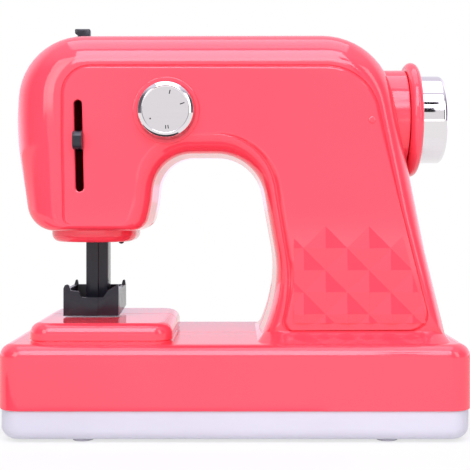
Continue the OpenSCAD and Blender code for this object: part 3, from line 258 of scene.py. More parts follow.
def fill_flat(bm, rings):
    edges = [e for ring in rings for e in ring_edges(bm, ring)]
    bmesh.ops.triangle_fill(bm, use_beauty=True, use_dissolve=False, edges=edges)


def take_in(bm, part):
    mesh = bpy.data.meshes.new("part")
    part.to_mesh(mesh)
    part.free()
    bm.from_mesh(mesh)
    bpy.data.meshes.remove(mesh)


# %% Rounded outlines
def corner_arc(before, corner, after, radius, steps):
    back, on = (before - corner).normalized(), (after - corner).normalized()
    half = back.angle(on) / 2
    centre = corner + (back + on).normalized() * radius / math.sin(half)
    arm = corner + back * radius / math.tan(half) - centre
    side = -1 if back.x * on.y - back.y * on.x > 0 else 1
    turn = side * (math.pi - 2 * half) / steps
    return [centre + Matrix.Rotation(turn * i, 2) @ arm for i in range(steps + 1)]


def rounded_outline(corners, steps):
    spots = [Vector((x, y)) for x, y, radius in corners]
    outline = []
    for i, (x, y, radius) in enumerate(corners):
        outline += corner_arc(spots[i - 1], spots[i], spots[(i + 1) % len(spots)], radius, steps)
    return outline


# %% Turning a bmesh into a piece of the machine
METRES_PER_MM, MERGE_METRES = 0.001, 1e-8
SHARP_SHELL, SHARP_FACETS, SHARP_SMALL = 28, 11, 30


def add_piece(bm, name, nodes, body, slot, sharp=SHARP_SHELL, scale=METRES_PER_MM):
    bmesh.ops.remove_doubles(bm, verts=bm.verts, dist=MERGE_METRES / scale)
    bmesh.ops.recalc_face_normals(bm, faces=bm.faces)
    bmesh.ops.scale(bm, vec=(scale, scale, scale), verts=bm.verts)
    mesh = bpy.data.meshes.new(name)
    bm.to_mesh(mesh)
    bm.free()
    mesh.materials.append(finishes[slot])
    mesh.shade_smooth()
    mesh.set_sharp_from_angle(angle=math.radians(sharp))
    piece = bpy.data.objects.new(name, mesh)
    bpy.context.scene.collection.objects.link(piece)
    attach(piece, body)
    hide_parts(*nodes)
    print(name, "has", len(mesh.polygons), "faces and replaces", ", ".join(nodes))


# %% [markdown]
# ## The arm, column and head
# The arm's outline is given twice: at the middle plane, where the two halves meet, and on the
# face, where the raised panel starts. Between them runs the soft rounded edge, wide over the
# head and shoulder and narrow round the throat. Both outlines have the same corners, so a ring
# can glide from one to the other. A corner is (x, rise above the base, radius), and the lists
# below it give the edge's depth, the panel's height and the width of its border as (start, end)
# of each corner. Between the edge and the panel lies a fine groove.

# %% Outlines and edge widths of the arm
BASE_TOP, FACE, WALL, DRAFT = 45.1, 38.0, 2.5, 0.8
ARC, FILLET = 12, 14
mid_corners = [
    (-100.2, 51.9, 16), (-107.8, 98, 120), (-105, 147.9, 33), (72, 147.9, 36), (91.9, 41.9, 80),
    (101.9, -2, 1), (10.5, -2, 1), (22.4, 22, 75), (10.1, 88.4, 23), (-37, 88.4, 18),
    (-39.3, 64.9, 40), (-42.3, 51.9, 8)]
face_corners = [
    (-81.5, 54.9, 4), (-82.3, 98, 120), (-82.3, 130.9, 14), (64, 130.9, 26), (78.4, 63.9, 80),
    (93.4, 5, 7.5), (21.0, 5, 4), (26.3, 26, 75), (14.2, 97.9, 29), (-46.5, 97.9, 25),
    (-48.8, 64.9, 40), (-51.8, 54.9, 4)]
edge_depths = [
    (7, 20), (20, 20), (20, 20), (18, 18), (13, 13), (8, 8), (8, 12), (12, 12), (12, 12),
    (11, 11), (11, 11), (11, 8)]
step_heights = (
    [(0, 0.8)] + [(0.8, 0.8)] * 5 + [(0.8, 1.8), (1.8, 1.8), (1.8, 0)] + [(0, 0)] * 3)
step_widths = (
    [(2.2, 2.2)] * 3 + [(2.4, 2.4)] * 3 + [(1.2, 4.5), (4.5, 4.5), (4.5, 1.2)]
    + [(1.2, 1.2)] * 3)


def along_corners(pairs):
    return [a + (b - a) * k / ARC for a, b in pairs for k in range(ARC + 1)]


mid_line = rounded_outline(mid_corners, ARC)
face_line = rounded_outline(face_corners, ARC)
inward = [(f - m).normalized() for m, f in zip(mid_line, face_line)]
depths, drops, widths = (along_corners(pairs) for pairs in (edge_depths, step_heights, step_widths))
print("arm outline:", len(mid_line), "points")


# %% Rings of the arm, from the lining out over the edge to the panel
def arm_ring(line, depth_list, side):
    return [Vector((p.x, side * d, BASE_TOP + p.y)) for p, d in zip(line, depth_list)]


def edge_ring(angle, side, wall, face_inset):
    line = [
        (m + i * (DRAFT + wall)).lerp(f + i * face_inset, 1 - math.cos(angle))
        for m, f, i in zip(mid_line, face_line, inward)]
    reach = [
        FACE - wall - drop - depth * (1 - math.sin(angle)) for depth, drop in zip(depths, drops)]
    return arm_ring(line, reach, side)


def flat_ring(inset, depth, side):
    line = [m + i * inset for m, i in zip(mid_line, inward)]
    return arm_ring(line, [depth] * len(line), side)


# Each row: share of the border's width, share of the panel's height, depth of the groove.
PANEL_STEP = (
    (0.1, 0, 0.45), (0.2, 0, 0.7), (0.32, 0.05, 0.6), (0.46, 0.4, 0.25), (0.64, 0.75, 0.05),
    (0.82, 0.95, 0), (1, 1, 0))
GROOVE_LIMIT = 0.8


def panel_ring(share, rise, dip, side):
    line = [f + i * width * share for f, i, width in zip(face_line, inward, widths)]
    reach = [FACE - drop * (1 - rise) - dip * min(drop, GROOVE_LIMIT) for drop in drops]
    return arm_ring(line, reach, side)


# Each row: how far in from the outline, how far from the middle plane.
SEAM_EDGE = ((2.5, 0.06), (0.3, 0.06), (0.1, 0.13), (0, 0.3))
PANEL_MARGIN, LINING_INSET = 0.4, 1


def arm_rings(side):
    turns = [math.pi / 2 * k / FILLET for k in range(FILLET + 1)]
    lining_turns = turns[::3]
    rings = [edge_ring(turn, side, WALL, LINING_INSET) for turn in reversed(lining_turns)]
    rings += [flat_ring(*row, side) for row in SEAM_EDGE]
    rings += [edge_ring(turn, side, 0, 0) for turn in turns]
    rings += [panel_ring(*row, side) for row in PANEL_STEP]
    last = [f + i * (w + PANEL_MARGIN) for f, i, w in zip(face_line, inward, widths)]
    return rings + [arm_ring(last, [FACE] * len(last), side)]


# %% Round and long holes in the face
def circle(x, z, radius, y, steps):
    turns = [2 * math.pi * k / steps for k in range(steps)]
    return [Vector((x + radius * math.cos(t), y, z + radius * math.sin(t))) for t in turns]


SLOT_X, SLOT_Z, SLOT_W, SLOT_L, SLOT_LEAN = -73.7, 137.6, 3.9, 43.4, 1.3
slot_lean = Matrix.Rotation(math.radians(SLOT_LEAN), 2)


def slot_ring(grow, y, steps=14):
    radius, half = SLOT_W / 2 + grow, (SLOT_L - SLOT_W) / 2
    ring = []
    for k in range(2 * steps + 2):
        turn = math.pi * (k if k <= steps else k - 1) / steps
        end = half if k <= steps else -half
        spot = slot_lean @ Vector((radius * math.cos(turn), radius * math.sin(turn) + end))
        ring.append(Vector((SLOT_X + spot.x, y, SLOT_Z + spot.y)))
    return ring


DIAL_X, DIAL_Z = -32.4, 154.2
screw_spots = [
    (-46.3, 168.6), (-55.8, 111.7), (9.8, 170.8), (54.0, 167.9), (34.1, 62.8), (81.5, 62.8)]
print("slot from z", round(SLOT_Z - SLOT_L / 2, 1), "to", round(SLOT_Z + SLOT_L / 2, 1))


# %% One arm half, with what its two faces carry
# Rows are (how much wider than the slot, how deep) and, for the round holes, (radius, y).
SLOT_LIP = ((0.9, 0), (0.55, 0), (0.2, 0.12), (0.03, 0.4), (0, 0.8), (0, WALL))
SEAM_GAP = 0.06
DIAL_BORE, DIAL_BOSS, DIAL_BOSS_LENGTH = 3.05, 6, 5.5
PILOT_BORE, PILOT_BOSS, PILOT_END = 1.35, 3.6, -22.5
WELL_BORE, WELL_SEAT, WELL_BOSS, SHANK_BORE = 3.4, 8.0, 5.0, 1.6


def front_holes(bm, face_y, lining_y):
    through = [draw_rings(bm, [slot_ring(wider, face_y + deep) for wider, deep in SLOT_LIP])]
    rows = (
        (3.5, face_y), (DIAL_BORE, face_y), (DIAL_BORE, lining_y + DIAL_BOSS_LENGTH),
        (DIAL_BOSS, lining_y + DIAL_BOSS_LENGTH), (DIAL_BOSS, lining_y))
    through.append(draw_rings(bm, [circle(DIAL_X, DIAL_Z, r, y, 96) for r, y in rows]))
    outer, inner = [ends[0] for ends in through], [ends[1] for ends in through]
    rows = (
        (PILOT_BOSS, lining_y), (PILOT_BOSS, -SEAM_GAP), (PILOT_BORE, -SEAM_GAP),
        (PILOT_BORE, PILOT_END))
    for x, z in screw_spots:
        mouth, pit = draw_rings(bm, [circle(x, z, r, y, 24) for r, y in rows])
        inner.append(mouth)
        fill_flat(bm, [pit])
    return outer, inner


def rear_holes(bm, face_y, lining_y):
    rows = (
        (4.2, face_y), (3.8, face_y), (3.5, face_y - 0.1), (WELL_BORE, face_y - 0.4),
        (WELL_BORE, WELL_SEAT), (SHANK_BORE, WELL_SEAT), (SHANK_BORE, SEAM_GAP),
        (WELL_BOSS, SEAM_GAP), (WELL_BOSS, lining_y))
    wells = [
        draw_rings(bm, [circle(x, z, r, y, 40) for r, y in rows]) for x, z in screw_spots]
    return [ends[0] for ends in wells], [ends[1] for ends in wells]


def draw_arm(bm, side):
    lining, face = draw_rings(bm, arm_rings(side))
    draw_holes = front_holes if side < 0 else rear_holes
    outer, inner = draw_holes(bm, side * FACE, side * (FACE - WALL))
    fill_flat(bm, [face] + outer)
    fill_flat(bm, [lining] + inner)


# %% [markdown]
# ## Base, plate, collar and the cove of the column
# These are rounded blocks cut in two by the middle plane. Each half is an open chain of points
# that runs from the seam round two corners back to the seam, drawn upwards ring by ring. At the
# seam the edge is rounded by a quarter of a millimetre, so that the fine parting line of the
# moulding shows.

# %% Half of a rounded block
# Each row of the lip: how far from the middle plane, how far back from the outline.
LIP = ((SEAM_GAP, 0.3), (0.13, 0.1), (0.3, 0.0))


def half_ring(x0, x1, reach, corner, inset, z, tilt, side):
    lean, drop = math.cos(math.radians(tilt)), math.sin(math.radians(tilt))
    right = [(x1 - inset - back * lean, y, z - back * drop) for y, back in LIP]
    left = [(x0 + inset + back * lean, y, z - back * drop) for y, back in reversed(LIP)]
    radius = corner - inset
    arcs = []
    for centre_x, first in ((x1 - corner, 0), (x0 + corner, 90)):
        for k in range(ARC + 1):
            turn = math.radians(first + 90 * k / ARC)
            y = reach - corner + radius * math.sin(turn)
            arcs.append((centre_x + radius * math.cos(turn), y, z))
    return [Vector((x, side * y, z)) for x, y, z in right + arcs + left]


def cap_half(bm, ring, notch=()):
    inner = ring[2:-2]
    path = [inner[-1]] + [bm.verts.new(p) for p in notch] + [inner[0]]
    extra = [bm.edges.get(pair) or bm.edges.new(pair) for pair in zip(path, path[1:])]
    edges = [bm.edges.get(pair) for pair in zip(inner, inner[1:])]
    bmesh.ops.triangle_fill(bm, use_beauty=True, use_dissolve=False, edges=edges + extra)
    if not notch:
        bmesh.ops.contextual_create(bm, geom=[ring[1], ring[2], ring[-3], ring[-2]])
        bmesh.ops.contextual_create(bm, geom=[ring[0], ring[1], ring[-2], ring[-1]])
    return path


def rounded_top(radius, top):
    rows = []
    for k in range(FILLET + 1):
        turn = 90 * k / FILLET
        inset = radius * (1 - math.cos(math.radians(turn)))
        rows.append((inset, top - radius * (1 - math.sin(math.radians(turn))), turn))
    return rows


# %% The four blocks of one half
# A block is (left, right, reach to the front or back, corner radius). Its rows are
# (inset, height, slope in degrees).
BASE_BLOCK, BASE_EDGE = (-110, 110, 52, 11), 6
BASE_RIM = (
    (2.5, 42.0, 0), (2.5, 15.1, 0), (0.5, 15.1, 0), (0.15, 15.2, 0), (0, 15.5, 0), (0, 16, 0))
PLATE_LEFT, PLATE_RIGHT, PLATE_CORNER, PLATE_TOP, PLATE_EDGE = -96.5, -29.3, 10, 54.5, 5
PLATE_REACH = {-1: 47, 1: 33}
PLATE_GROOVE = (
    (0, -1.25), (0, 0.8), (0.1, 0.92), (0.44, 1.08), (0.5, 1.2), (0.44, 1.34), (0.1, 1.55),
    (0, 1.7))
COVE_LEFT, COVE_RIGHT, COVE_REACH, COVE_CORNER = 14.5, 99.5, 37.2, 10
COVE_OUT_LEFT, COVE_OUT_RIGHT, COVE_OUT_REACH = 5, 3.2, 10.8
COVE_LOW, COVE_RISE, COVE_CURVE, COVE_SLOPE = 43.85, 6.25, 1.3, 45
COLLAR_BLOCK, COLLAR_LOW, COLLAR_TOP, COLLAR_EDGE = (-91, -49, 28, 19), 91.5, 98.25, 4
NOTCH_LEFT, NOTCH_RIGHT, NOTCH_REACH, NOTCH_RISE = -78.2, -60.4, 10, 12
FLAT_BORDER = 0.5


def draw_block(bm, block, rows, side):
    return draw_rings(bm, [half_ring(*block, *row, side) for row in rows], closed=False)


def draw_base(bm, side):
    rows = list(BASE_RIM) + rounded_top(BASE_EDGE, BASE_TOP)
    rows.append((BASE_EDGE + FLAT_BORDER, BASE_TOP, 90))
    cap_half(bm, draw_block(bm, BASE_BLOCK, rows, side)[1])


def draw_plate(bm, side):
    block = (PLATE_LEFT, PLATE_RIGHT, PLATE_REACH[side], PLATE_CORNER)
    rows = [(inset, BASE_TOP + rise, 0) for inset, rise in PLATE_GROOVE]
    rows += rounded_top(PLATE_EDGE, PLATE_TOP)
    rows.append((PLATE_EDGE + FLAT_BORDER, PLATE_TOP, 90))
    cap_half(bm, draw_block(bm, block, rows, side)[1])


def draw_cove(bm, side):
    rings = []
    for k in range(FILLET + 1):
        rise = k / FILLET
        out = (1 - rise) ** COVE_CURVE
        left, right = COVE_LEFT - COVE_OUT_LEFT * out, COVE_RIGHT + COVE_OUT_RIGHT * out
        block = (left, right, COVE_REACH + COVE_OUT_REACH * out, COVE_CORNER)
        rings.append(half_ring(*block, 0, COVE_LOW + COVE_RISE * rise, COVE_SLOPE, side))
    cap_half(bm, draw_rings(bm, rings, closed=False)[1])


def draw_collar(bm, side):
    low = COLLAR_LOW
    edge = [(COLLAR_EDGE + FLAT_BORDER, low, 90)] + rounded_top(COLLAR_EDGE, low)[::-1]
    rows = [(inset, 2 * low - z, -turn) for inset, z, turn in edge] + [(0, COLLAR_TOP, 0)]
    ring = draw_block(bm, COLLAR_BLOCK, rows, side)[0]
    near, far = side * LIP[0][1], side * NOTCH_REACH
    notch = [
        (NOTCH_LEFT, near, low), (NOTCH_LEFT, far, low), (NOTCH_RIGHT, far, low),
        (NOTCH_RIGHT, near, low)]
    path = cap_half(bm, ring, notch)[1:-1]
    draw_ring(bm, path, [v.co + Vector((0, 0, NOTCH_RISE)) for v in path], closed=False)


# %% [markdown]
# ## Drum, relief and pip
# The drum behind the handwheel is half a turned cup, so its profile is spun through half a
# turn. The relief low on the column is a field of flat pyramids in a diamond lattice: each one
# is a four-sided cone, squashed and cut off at the border of the field with planes.

# %% Spun profiles
def spin_profile(bm, profile, centre, axis, steps, angle=2 * math.pi):
    ring = start_ring(bm, profile, closed=False)
    geom = ring + ring_edges(bm, ring, closed=False)
    full_turn = abs(angle) > 1.5 * math.pi
    bmesh.ops.spin(
        bm, geom=geom, cent=centre, axis=axis, dvec=(0, 0, 0), angle=angle, steps=steps,
        use_merge=full_turn, use_normal_flip=False, use_duplicate=False)


SHAFT_Z = 152.7
DRUM = ((60, 25), (84.6, 25), (84.95, 24.85), (85.1, 24.5), (85.1, 5.02), (70, 5.02))


def draw_drum(bm, side):
    part = bmesh.new()
    profile = [(x, 0, SHAFT_Z + r) for x, r in DRUM]
    spin_profile(part, profile, (0, 0, SHAFT_Z), (1, 0, 0), 48, side * -math.pi)
    bmesh.ops.translate(part, vec=(0, side * SEAM_GAP, 0), verts=part.verts)
    take_in(bm, part)


# %% Relief of low pyramids
FACET_X, FACET_Z, FACET_W, FACET_H, FACET_PROUD = 42.6, 89.3, 10.25, 10.35, 1.6
# The border of the field: a point on each cutting plane, and the way out of the field.
facet_cuts = [
    ((27.8, 0, 60), (-1, 0, 0)), ((60, 0, 53.9), (0, 0, -1)), ((90, 0, 53.9), (55.1, 0, 15.0))]
RELIEF_SUNK, MERGE_MM = 0.2, 1e-4
COLUMNS, ROWS = range(-2, 6), range(-4, 1)


def draw_relief(bm):
    part = bmesh.new()
    turn = Matrix.Rotation(math.radians(90), 4, "X")
    shape = Matrix.Diagonal((FACET_W, FACET_PROUD, FACET_H, 1))
    cells = [(c, r) for c in COLUMNS for r in ROWS if (c + r) % 2 == 0]
    for column, row in cells:
        cone = bmesh.ops.create_cone(
            part, cap_ends=False, segments=4, radius1=1, radius2=0, depth=1)
        x, z = FACET_X + column * FACET_W, FACET_Z + row * FACET_H
        spot = Matrix.Translation((x, -FACE - FACET_PROUD / 2, z))
        bmesh.ops.transform(part, matrix=spot @ shape @ turn, verts=cone["verts"])
    bmesh.ops.remove_doubles(part, verts=part.verts, dist=MERGE_MM)
    for spot, outward in facet_cuts:
        geom = part.verts[:] + part.edges[:] + part.faces[:]
        cut = bmesh.ops.bisect_plane(
            part, geom=geom, dist=MERGE_MM, plane_co=spot, plane_no=outward, clear_outer=True)
        rim = [e for e in cut["geom_cut"] if isinstance(e, bmesh.types.BMEdge)]
        walls = bmesh.ops.extrude_edge_only(part, edges=rim)
        for vert in walls["geom"]:
            if isinstance(vert, bmesh.types.BMVert):
                vert.co.y = -FACE + RELIEF_SUNK
    take_in(bm, part)


# %% Front and rear shells
def draw_half(side):
    bm = bmesh.new()
    draw_arm(bm, side)
    draw_base(bm, side)
    draw_plate(bm, side)
    draw_cove(bm, side)
    draw_collar(bm, side)
    draw_drum(bm, side)
    return bm


def spin_on_face(bm, x, z, profile, steps):
    spin_profile(bm, [(x + r, y, z) for r, y in profile], (x, 0, z), (0, 1, 0), steps)


PIP_X, PIP_Z = 64.6, 149.8
PIP = ((0, -38.6), (1.1, -38.6), (1.55, -38.42), (1.7, -38.1), (1.7, -37.5))
DIAL_RING = (
    (13.8, -37.4), (13.8, -38.4), (13.9, -38.55), (14.1, -38.6), (15.4, -38.6), (15.65, -38.54),
    (15.78, -38.35), (15.8, -38.1), (15.8, -36))

front = draw_half(-1)
draw_relief(front)
spin_on_face(front, PIP_X, PIP_Z, PIP, 32)
spin_on_face(front, DIAL_X, DIAL_Z, DIAL_RING, 96)
add_piece(front, "shell_front", ["front_shell"], "housing", "pink_shell", SHARP_FACETS)
add_piece(draw_half(1), "shell_rear", ["rear_shell"], "housing", "pink_shell")

# %% [markdown]
# ## White tray and feet
# The tray is a shallow cup with a soft lower edge. Its floor has the battery opening, the slot
# of the power switch and four screw recesses, which are drawn upwards from the floor's holes.

# %% Tray
# Openings are (left, right, front, back); rows are (inset or radius, height).
TRAY_BLOCK, TRAY_CORNER, TRAY_LOW, TRAY_TOP, TRAY_EDGE = (-109, 109, -51, 51), 10, 1.1, 15.1, 6
TRAY_RIM = ((2.5, 9.6), (2.5, 15.1), (0.5, 15.1), (0.12, 15.0), (0, 14.7), (0, 14.3))
DOOR_LEDGE, LEDGE_CORNER, LEDGE_TOP = (-10.25, 61.05, -15.4, 15.4), 0.6, 2.6
BATTERY_BAY, BAY_CORNER, BAY_INSET, BAY_TOP = (-10.25, 50.25, -15.4, 15.4), 0.5, 0.05, 19.0
SWITCH_SLIT, SLIT_CORNER, SLIT_TOP = (69.7, 78.3, -1.8, 1.8), 0.5, 3.6
OPENING_ARC = 4
SOFT_LIP = ((-0.6, TRAY_LOW), (-0.3, TRAY_LOW), (-0.1, 1.16), (0, 1.4))
SCREW_RECESS = (
    (3.9, TRAY_LOW), (3.5, TRAY_LOW), (3.2, 1.2), (3.1, 1.45), (3.1, 4.6), (1.6, 4.6), (1.6, 15.0))
tray_screw_spots = [(x, y) for x in (-91.5, 91.5) for y in (-38, 38)]


def block_ring(block, corner, inset, z, steps):
    x0, x1, y0, y1 = block
    left, right, front, back = x0 + inset, x1 - inset, y0 + inset, y1 - inset
    spots = [(left, front), (right, front), (right, back), (left, back)]
    outline = rounded_outline([(x, y, corner - inset) for x, y in spots], steps)
    return [Vector((p.x, p.y, z)) for p in outline]


def draw_opening(bm, block, corner, rows):
    return draw_rings(bm, [block_ring(block, corner, *row, OPENING_ARC) for row in rows])


def level_circle(x, y, radius, z, steps):
    return [Vector((p.x, p.z, z)) for p in circle(x, y, radius, 0, steps)]


def draw_tray():
    bm = bmesh.new()
    edge = [(inset, TRAY_LOW + TRAY_TOP - z) for inset, z, turn in rounded_top(TRAY_EDGE, TRAY_TOP)]
    rows = list(TRAY_RIM) + edge + [(TRAY_EDGE + FLAT_BORDER, TRAY_LOW)]
    floor = draw_rings(bm, [block_ring(TRAY_BLOCK, TRAY_CORNER, *row, ARC) for row in rows])[1]
    ledge = draw_opening(bm, DOOR_LEDGE, LEDGE_CORNER, SOFT_LIP + ((0, LEDGE_TOP),))
    bay_rows = ((BAY_INSET, LEDGE_TOP), (BAY_INSET, BAY_TOP))
    well = draw_opening(bm, BATTERY_BAY, BAY_CORNER, bay_rows)
    fill_flat(bm, [ledge[1], well[0]])
    fill_flat(bm, [well[1]])
    slit = draw_opening(bm, SWITCH_SLIT, SLIT_CORNER, SOFT_LIP + ((0, SLIT_TOP),))
    holes = [ledge[0], slit[0]]
    for x, y in tray_screw_spots:
        rings = [level_circle(x, y, radius, z, 32) for radius, z in SCREW_RECESS]
        holes.append(draw_rings(bm, rings)[0])
    fill_flat(bm, [floor] + holes)
    return bm


add_piece(draw_tray(), "tray", ["bottom_tray"], "housing", "white_tray")

# %% Feet: turned pads with a soft lower edge
FOOT = ((0, 0), (4.4, 0), (4.8, 0.1), (5, 0.35), (5, TRAY_LOW), (0, TRAY_LOW))
feet = bmesh.new()
for x, y in ((-71, -41), (-71, 41), (71, -41), (71, 41)):
    spin_profile(feet, [(x + r, y, z) for r, z in FOOT], (x, y, 0), (0, 0, 1), 40)
add_piece(feet, "rubber_feet", ["feet"], "housing", "foot_rubber")

# %% [markdown]
# ## Dial and handwheel
# All three are turned parts, so each is one profile spun round its own axis. The dial's face is
# flat and lies just inside a low lip, from which the rim falls away as a cone with soft edges.
# Its ticks are a piece of their own, because they are black. The handwheel's rim is a disc with
# a full round edge, and the knob is a short drum with a shallow dish in its end. Beside each
# soft edge a narrow flat ring keeps the broad faces flat in the light.

# %% Dial
# The profile is (radius, y); a tick is (turn in degrees, length, width).
DIAL_FACE_Y, TICK_RADIUS, TICK_PROUD = -44.2, 8.3, 0.12
DIAL_PROFILE = (
    (0, DIAL_FACE_Y), (10.4, DIAL_FACE_Y), (10.7, DIAL_FACE_Y), (10.85, -44.23), (10.95, -44.35),
    (11.1, -44.47), (11.3, -44.5), (11.45, -44.44), (12.8, -43.62), (12.98, -43.45),
    (13.12, -43.2), (13.2, -42.8), (13.2, -38.5), (13.0, -38.3), (10.7, -38.3), (10.7, -42),
    (3.0, -42), (3.0, -26.4), (0, -26.4))
TICKS = ((-76, 1.9, 0.5), (-19, 2.2, 0.5), (81, 1.7, 0.45), (89, 1.7, 0.45), (148, 0.7, 0.7))
dial = bmesh.new()
spin_on_face(dial, DIAL_X, DIAL_Z, DIAL_PROFILE, 128)
marks = bmesh.new()
dial_middle = Matrix.Translation((DIAL_X, DIAL_FACE_Y, DIAL_Z))
for turn, length, width in TICKS:
    mark = bmesh.ops.create_cube(marks, size=1)["verts"]
    block = Matrix.Diagonal((length, TICK_PROUD, width, 1))
    shape = Matrix.Translation((TICK_RADIUS, 0, 0)) @ block
    spot = dial_middle @ Matrix.Rotation(math.radians(turn), 4, "Y")
    bmesh.ops.transform(marks, matrix=spot @ shape, verts=mark)
add_piece(dial, "dial_cap", ["stitch_dial"], "dial", "chrome")
add_piece(marks, "dial_marks", ["stitch_dial"], "dial", "black_plastic")

# %% Handwheel rim and knob
# Profiles are (x, radius); each round edge is (middle x, middle radius, its own radius).
WHEEL_BORE, RIM_LEFT, RIM_RIGHT = 2.5, 85.4, 91.4
RIM_MIDDLE, RIM_RADIUS, RIM_ROUND = 88.4, 25.8, 3
KNOB_MIDDLE, KNOB_RADIUS, KNOB_ROUND = 101.8, 19.4, 2.6
KNOB_HEEL = ((RIM_RIGHT, 21.6), (91.55, 21.9), (91.8, 22), (92.2, 22))
KNOB_DISH = (
    (104.4, 18.35), (104.3, 18.1), (104.1, 18), (103.55, 17.9), (103.4, 17.6), (103.4, 0))


def spin_on_shaft(bm, profile):
    points = [(x, 0, SHAFT_Z + r) for x, r in profile]
    spin_profile(bm, points, (0, 0, SHAFT_Z), (1, 0, 0), 160)


rim = bmesh.new()
profile = [(RIM_LEFT, WHEEL_BORE), (RIM_LEFT, RIM_RADIUS)]
for turn in range(6, 180, 6):
    x = RIM_MIDDLE - RIM_ROUND * math.cos(math.radians(turn))
    profile.append((x, RIM_RADIUS + RIM_ROUND * math.sin(math.radians(turn))))
spin_on_shaft(rim, profile + [(RIM_RIGHT, RIM_RADIUS), (RIM_RIGHT, WHEEL_BORE)])
add_piece(rim, "wheel_rim", ["handwheel_rim"], "handwheel", "pink_shell")

knob = bmesh.new()
profile = [(RIM_RIGHT, WHEEL_BORE), *KNOB_HEEL]
for turn in range(0, 91, 6):
    x = KNOB_MIDDLE + KNOB_ROUND * math.sin(math.radians(turn))
    profile.append((x, KNOB_RADIUS + KNOB_ROUND * math.cos(math.radians(turn))))
spin_on_shaft(knob, profile + list(KNOB_DISH))
add_piece(knob, "wheel_knob", ["handwheel_knob"], "handwheel", "chrome")

# %% [markdown]
# ## Small mouldings
# Needle bar, presser foot, take-up lever, lamp, battery door and switch are plain shapes with
# softened edges. A copy of the CAD mesh has its triangles merged back into flat faces, and a
# bevel rounds every sharp edge, as the mould does. The thread hook on top is thinner than its
# solid, so it is drawn from its own outline, thickened and bevelled.

# %% Softened copies
# The copies stay in metres: points nearer than the first are one, and faces within the second
# angle of each other are one flat face.
CAD_MERGE, FLAT_WITHIN = 2e-6, 1


def bevel(bm, edges, width):
    bmesh.ops.bevel(
        bm, geom=edges, offset=width, offset_type="OFFSET", affect="EDGES", segments=3,
        profile=0.5, clamp_overlap=True, material=-1)


def soften(node, name, body, slot, width):
    bm = bmesh.new()
    bm.from_mesh(frame["nodes"][node].data)
    bmesh.ops.remove_doubles(bm, verts=bm.verts, dist=CAD_MERGE)
    bmesh.ops.dissolve_limit(
        bm, angle_limit=math.radians(FLAT_WITHIN), use_dissolve_boundaries=False, verts=bm.verts,
        edges=bm.edges, delimit=set())
    limit = math.radians(SHARP_SMALL)
    shared = [e for e in bm.edges if len(e.link_faces) == 2]
    bevel(bm, [e for e in shared if e.calc_face_angle() > limit], width * METRES_PER_MM)
    add_piece(bm, name, [node], body, slot, SHARP_SMALL, 1.0)


soften("needle_bar", "bar_black", "needle_carriage", "black_plastic", 0.5)
soften("presser_foot", "foot_black", "needle_carriage", "black_plastic", 0.35)
soften("take_up_lever", "lever_black", "needle_carriage", "black_plastic", 0.5)
soften("work_lamp", "lamp_black", "housing", "black_plastic", 0.1)
soften("battery_door", "door_white", "housing", "white_tray", 0.25)
soften("switch_slider", "slider_black", "power_switch", "black_plastic", 0.25)

# %% Thread hook: one flat outline, thickened and bevelled
HOOK_HALF, HOOK_EDGE = 2.4, 0.45
HOOK_OUTLINE = (
    (-73.4, 187.7), (-73.4, 198.7), (-81.0, 198.7), (-81.0, 196.4), (-79.6, 195.6), (-79.6, 187.7))
hook = bmesh.new()
ring = start_ring(hook, [(x, -HOOK_HALF, z) for x, z in HOOK_OUTLINE])
flat = bmesh.ops.contextual_create(hook, geom=ring + ring_edges(hook, ring))["faces"]
thick = bmesh.ops.extrude_face_region(hook, geom=flat)["geom"]
moved = [g for g in thick if isinstance(g, bmesh.types.BMVert)]
bmesh.ops.translate(hook, vec=(0, 2 * HOOK_HALF, 0), verts=moved)
bevel(hook, hook.edges[:], HOOK_EDGE)
add_piece(hook, "hook_black", ["thread_guide"], "housing", "black_plastic", SHARP_SMALL)

# %% [markdown]
# ## Screws
# Each screw is a stack of circles: the pan head with its soft edge, then the shank. The cross
# recess is a plus-shaped ring in the head, drawn inwards and narrowed, so the driver's slot has
# sloped walls. The screw is drawn with its head towards +Y and then turned to its place.

# %% One screw
CROSS_REACH, CROSS_HALF, CROSS_DEPTH, CROSS_TAPER = 1.6, 0.32, 0.7, 0.75
HEAD_RADIUS, SHANK_RADIUS = 2.8, 1.3


def draw_screw(bm, place, head, length):
    part = bmesh.new()
    quarter = [(CROSS_REACH, -CROSS_HALF), (CROSS_REACH, CROSS_HALF), (CROSS_HALF, CROSS_HALF)]
    turns = [Matrix.Rotation(math.radians(90 * k), 2) for k in range(4)]
    cross = [turn @ Vector(spot) for turn in turns for spot in quarter]
    floor = [Vector((p.x * CROSS_TAPER, -CROSS_DEPTH, p.y * CROSS_TAPER)) for p in cross]
    pit, mouth = draw_rings(part, [floor, [Vector((p.x, 0, p.y)) for p in cross]])
    rows = (
        (2.2, 0), (2.5, -0.06), (2.72, -0.22), (HEAD_RADIUS, -0.5), (HEAD_RADIUS, -head),
        (SHANK_RADIUS, -head), (SHANK_RADIUS, -head - length))
    crown, tip = draw_rings(part, [circle(0, 0, r, y, 40) for r, y in rows])
    fill_flat(part, [pit])
    fill_flat(part, [mouth, crown])
    fill_flat(part, [tip])
    bmesh.ops.transform(part, matrix=place, verts=part.verts)
    take_in(bm, part)


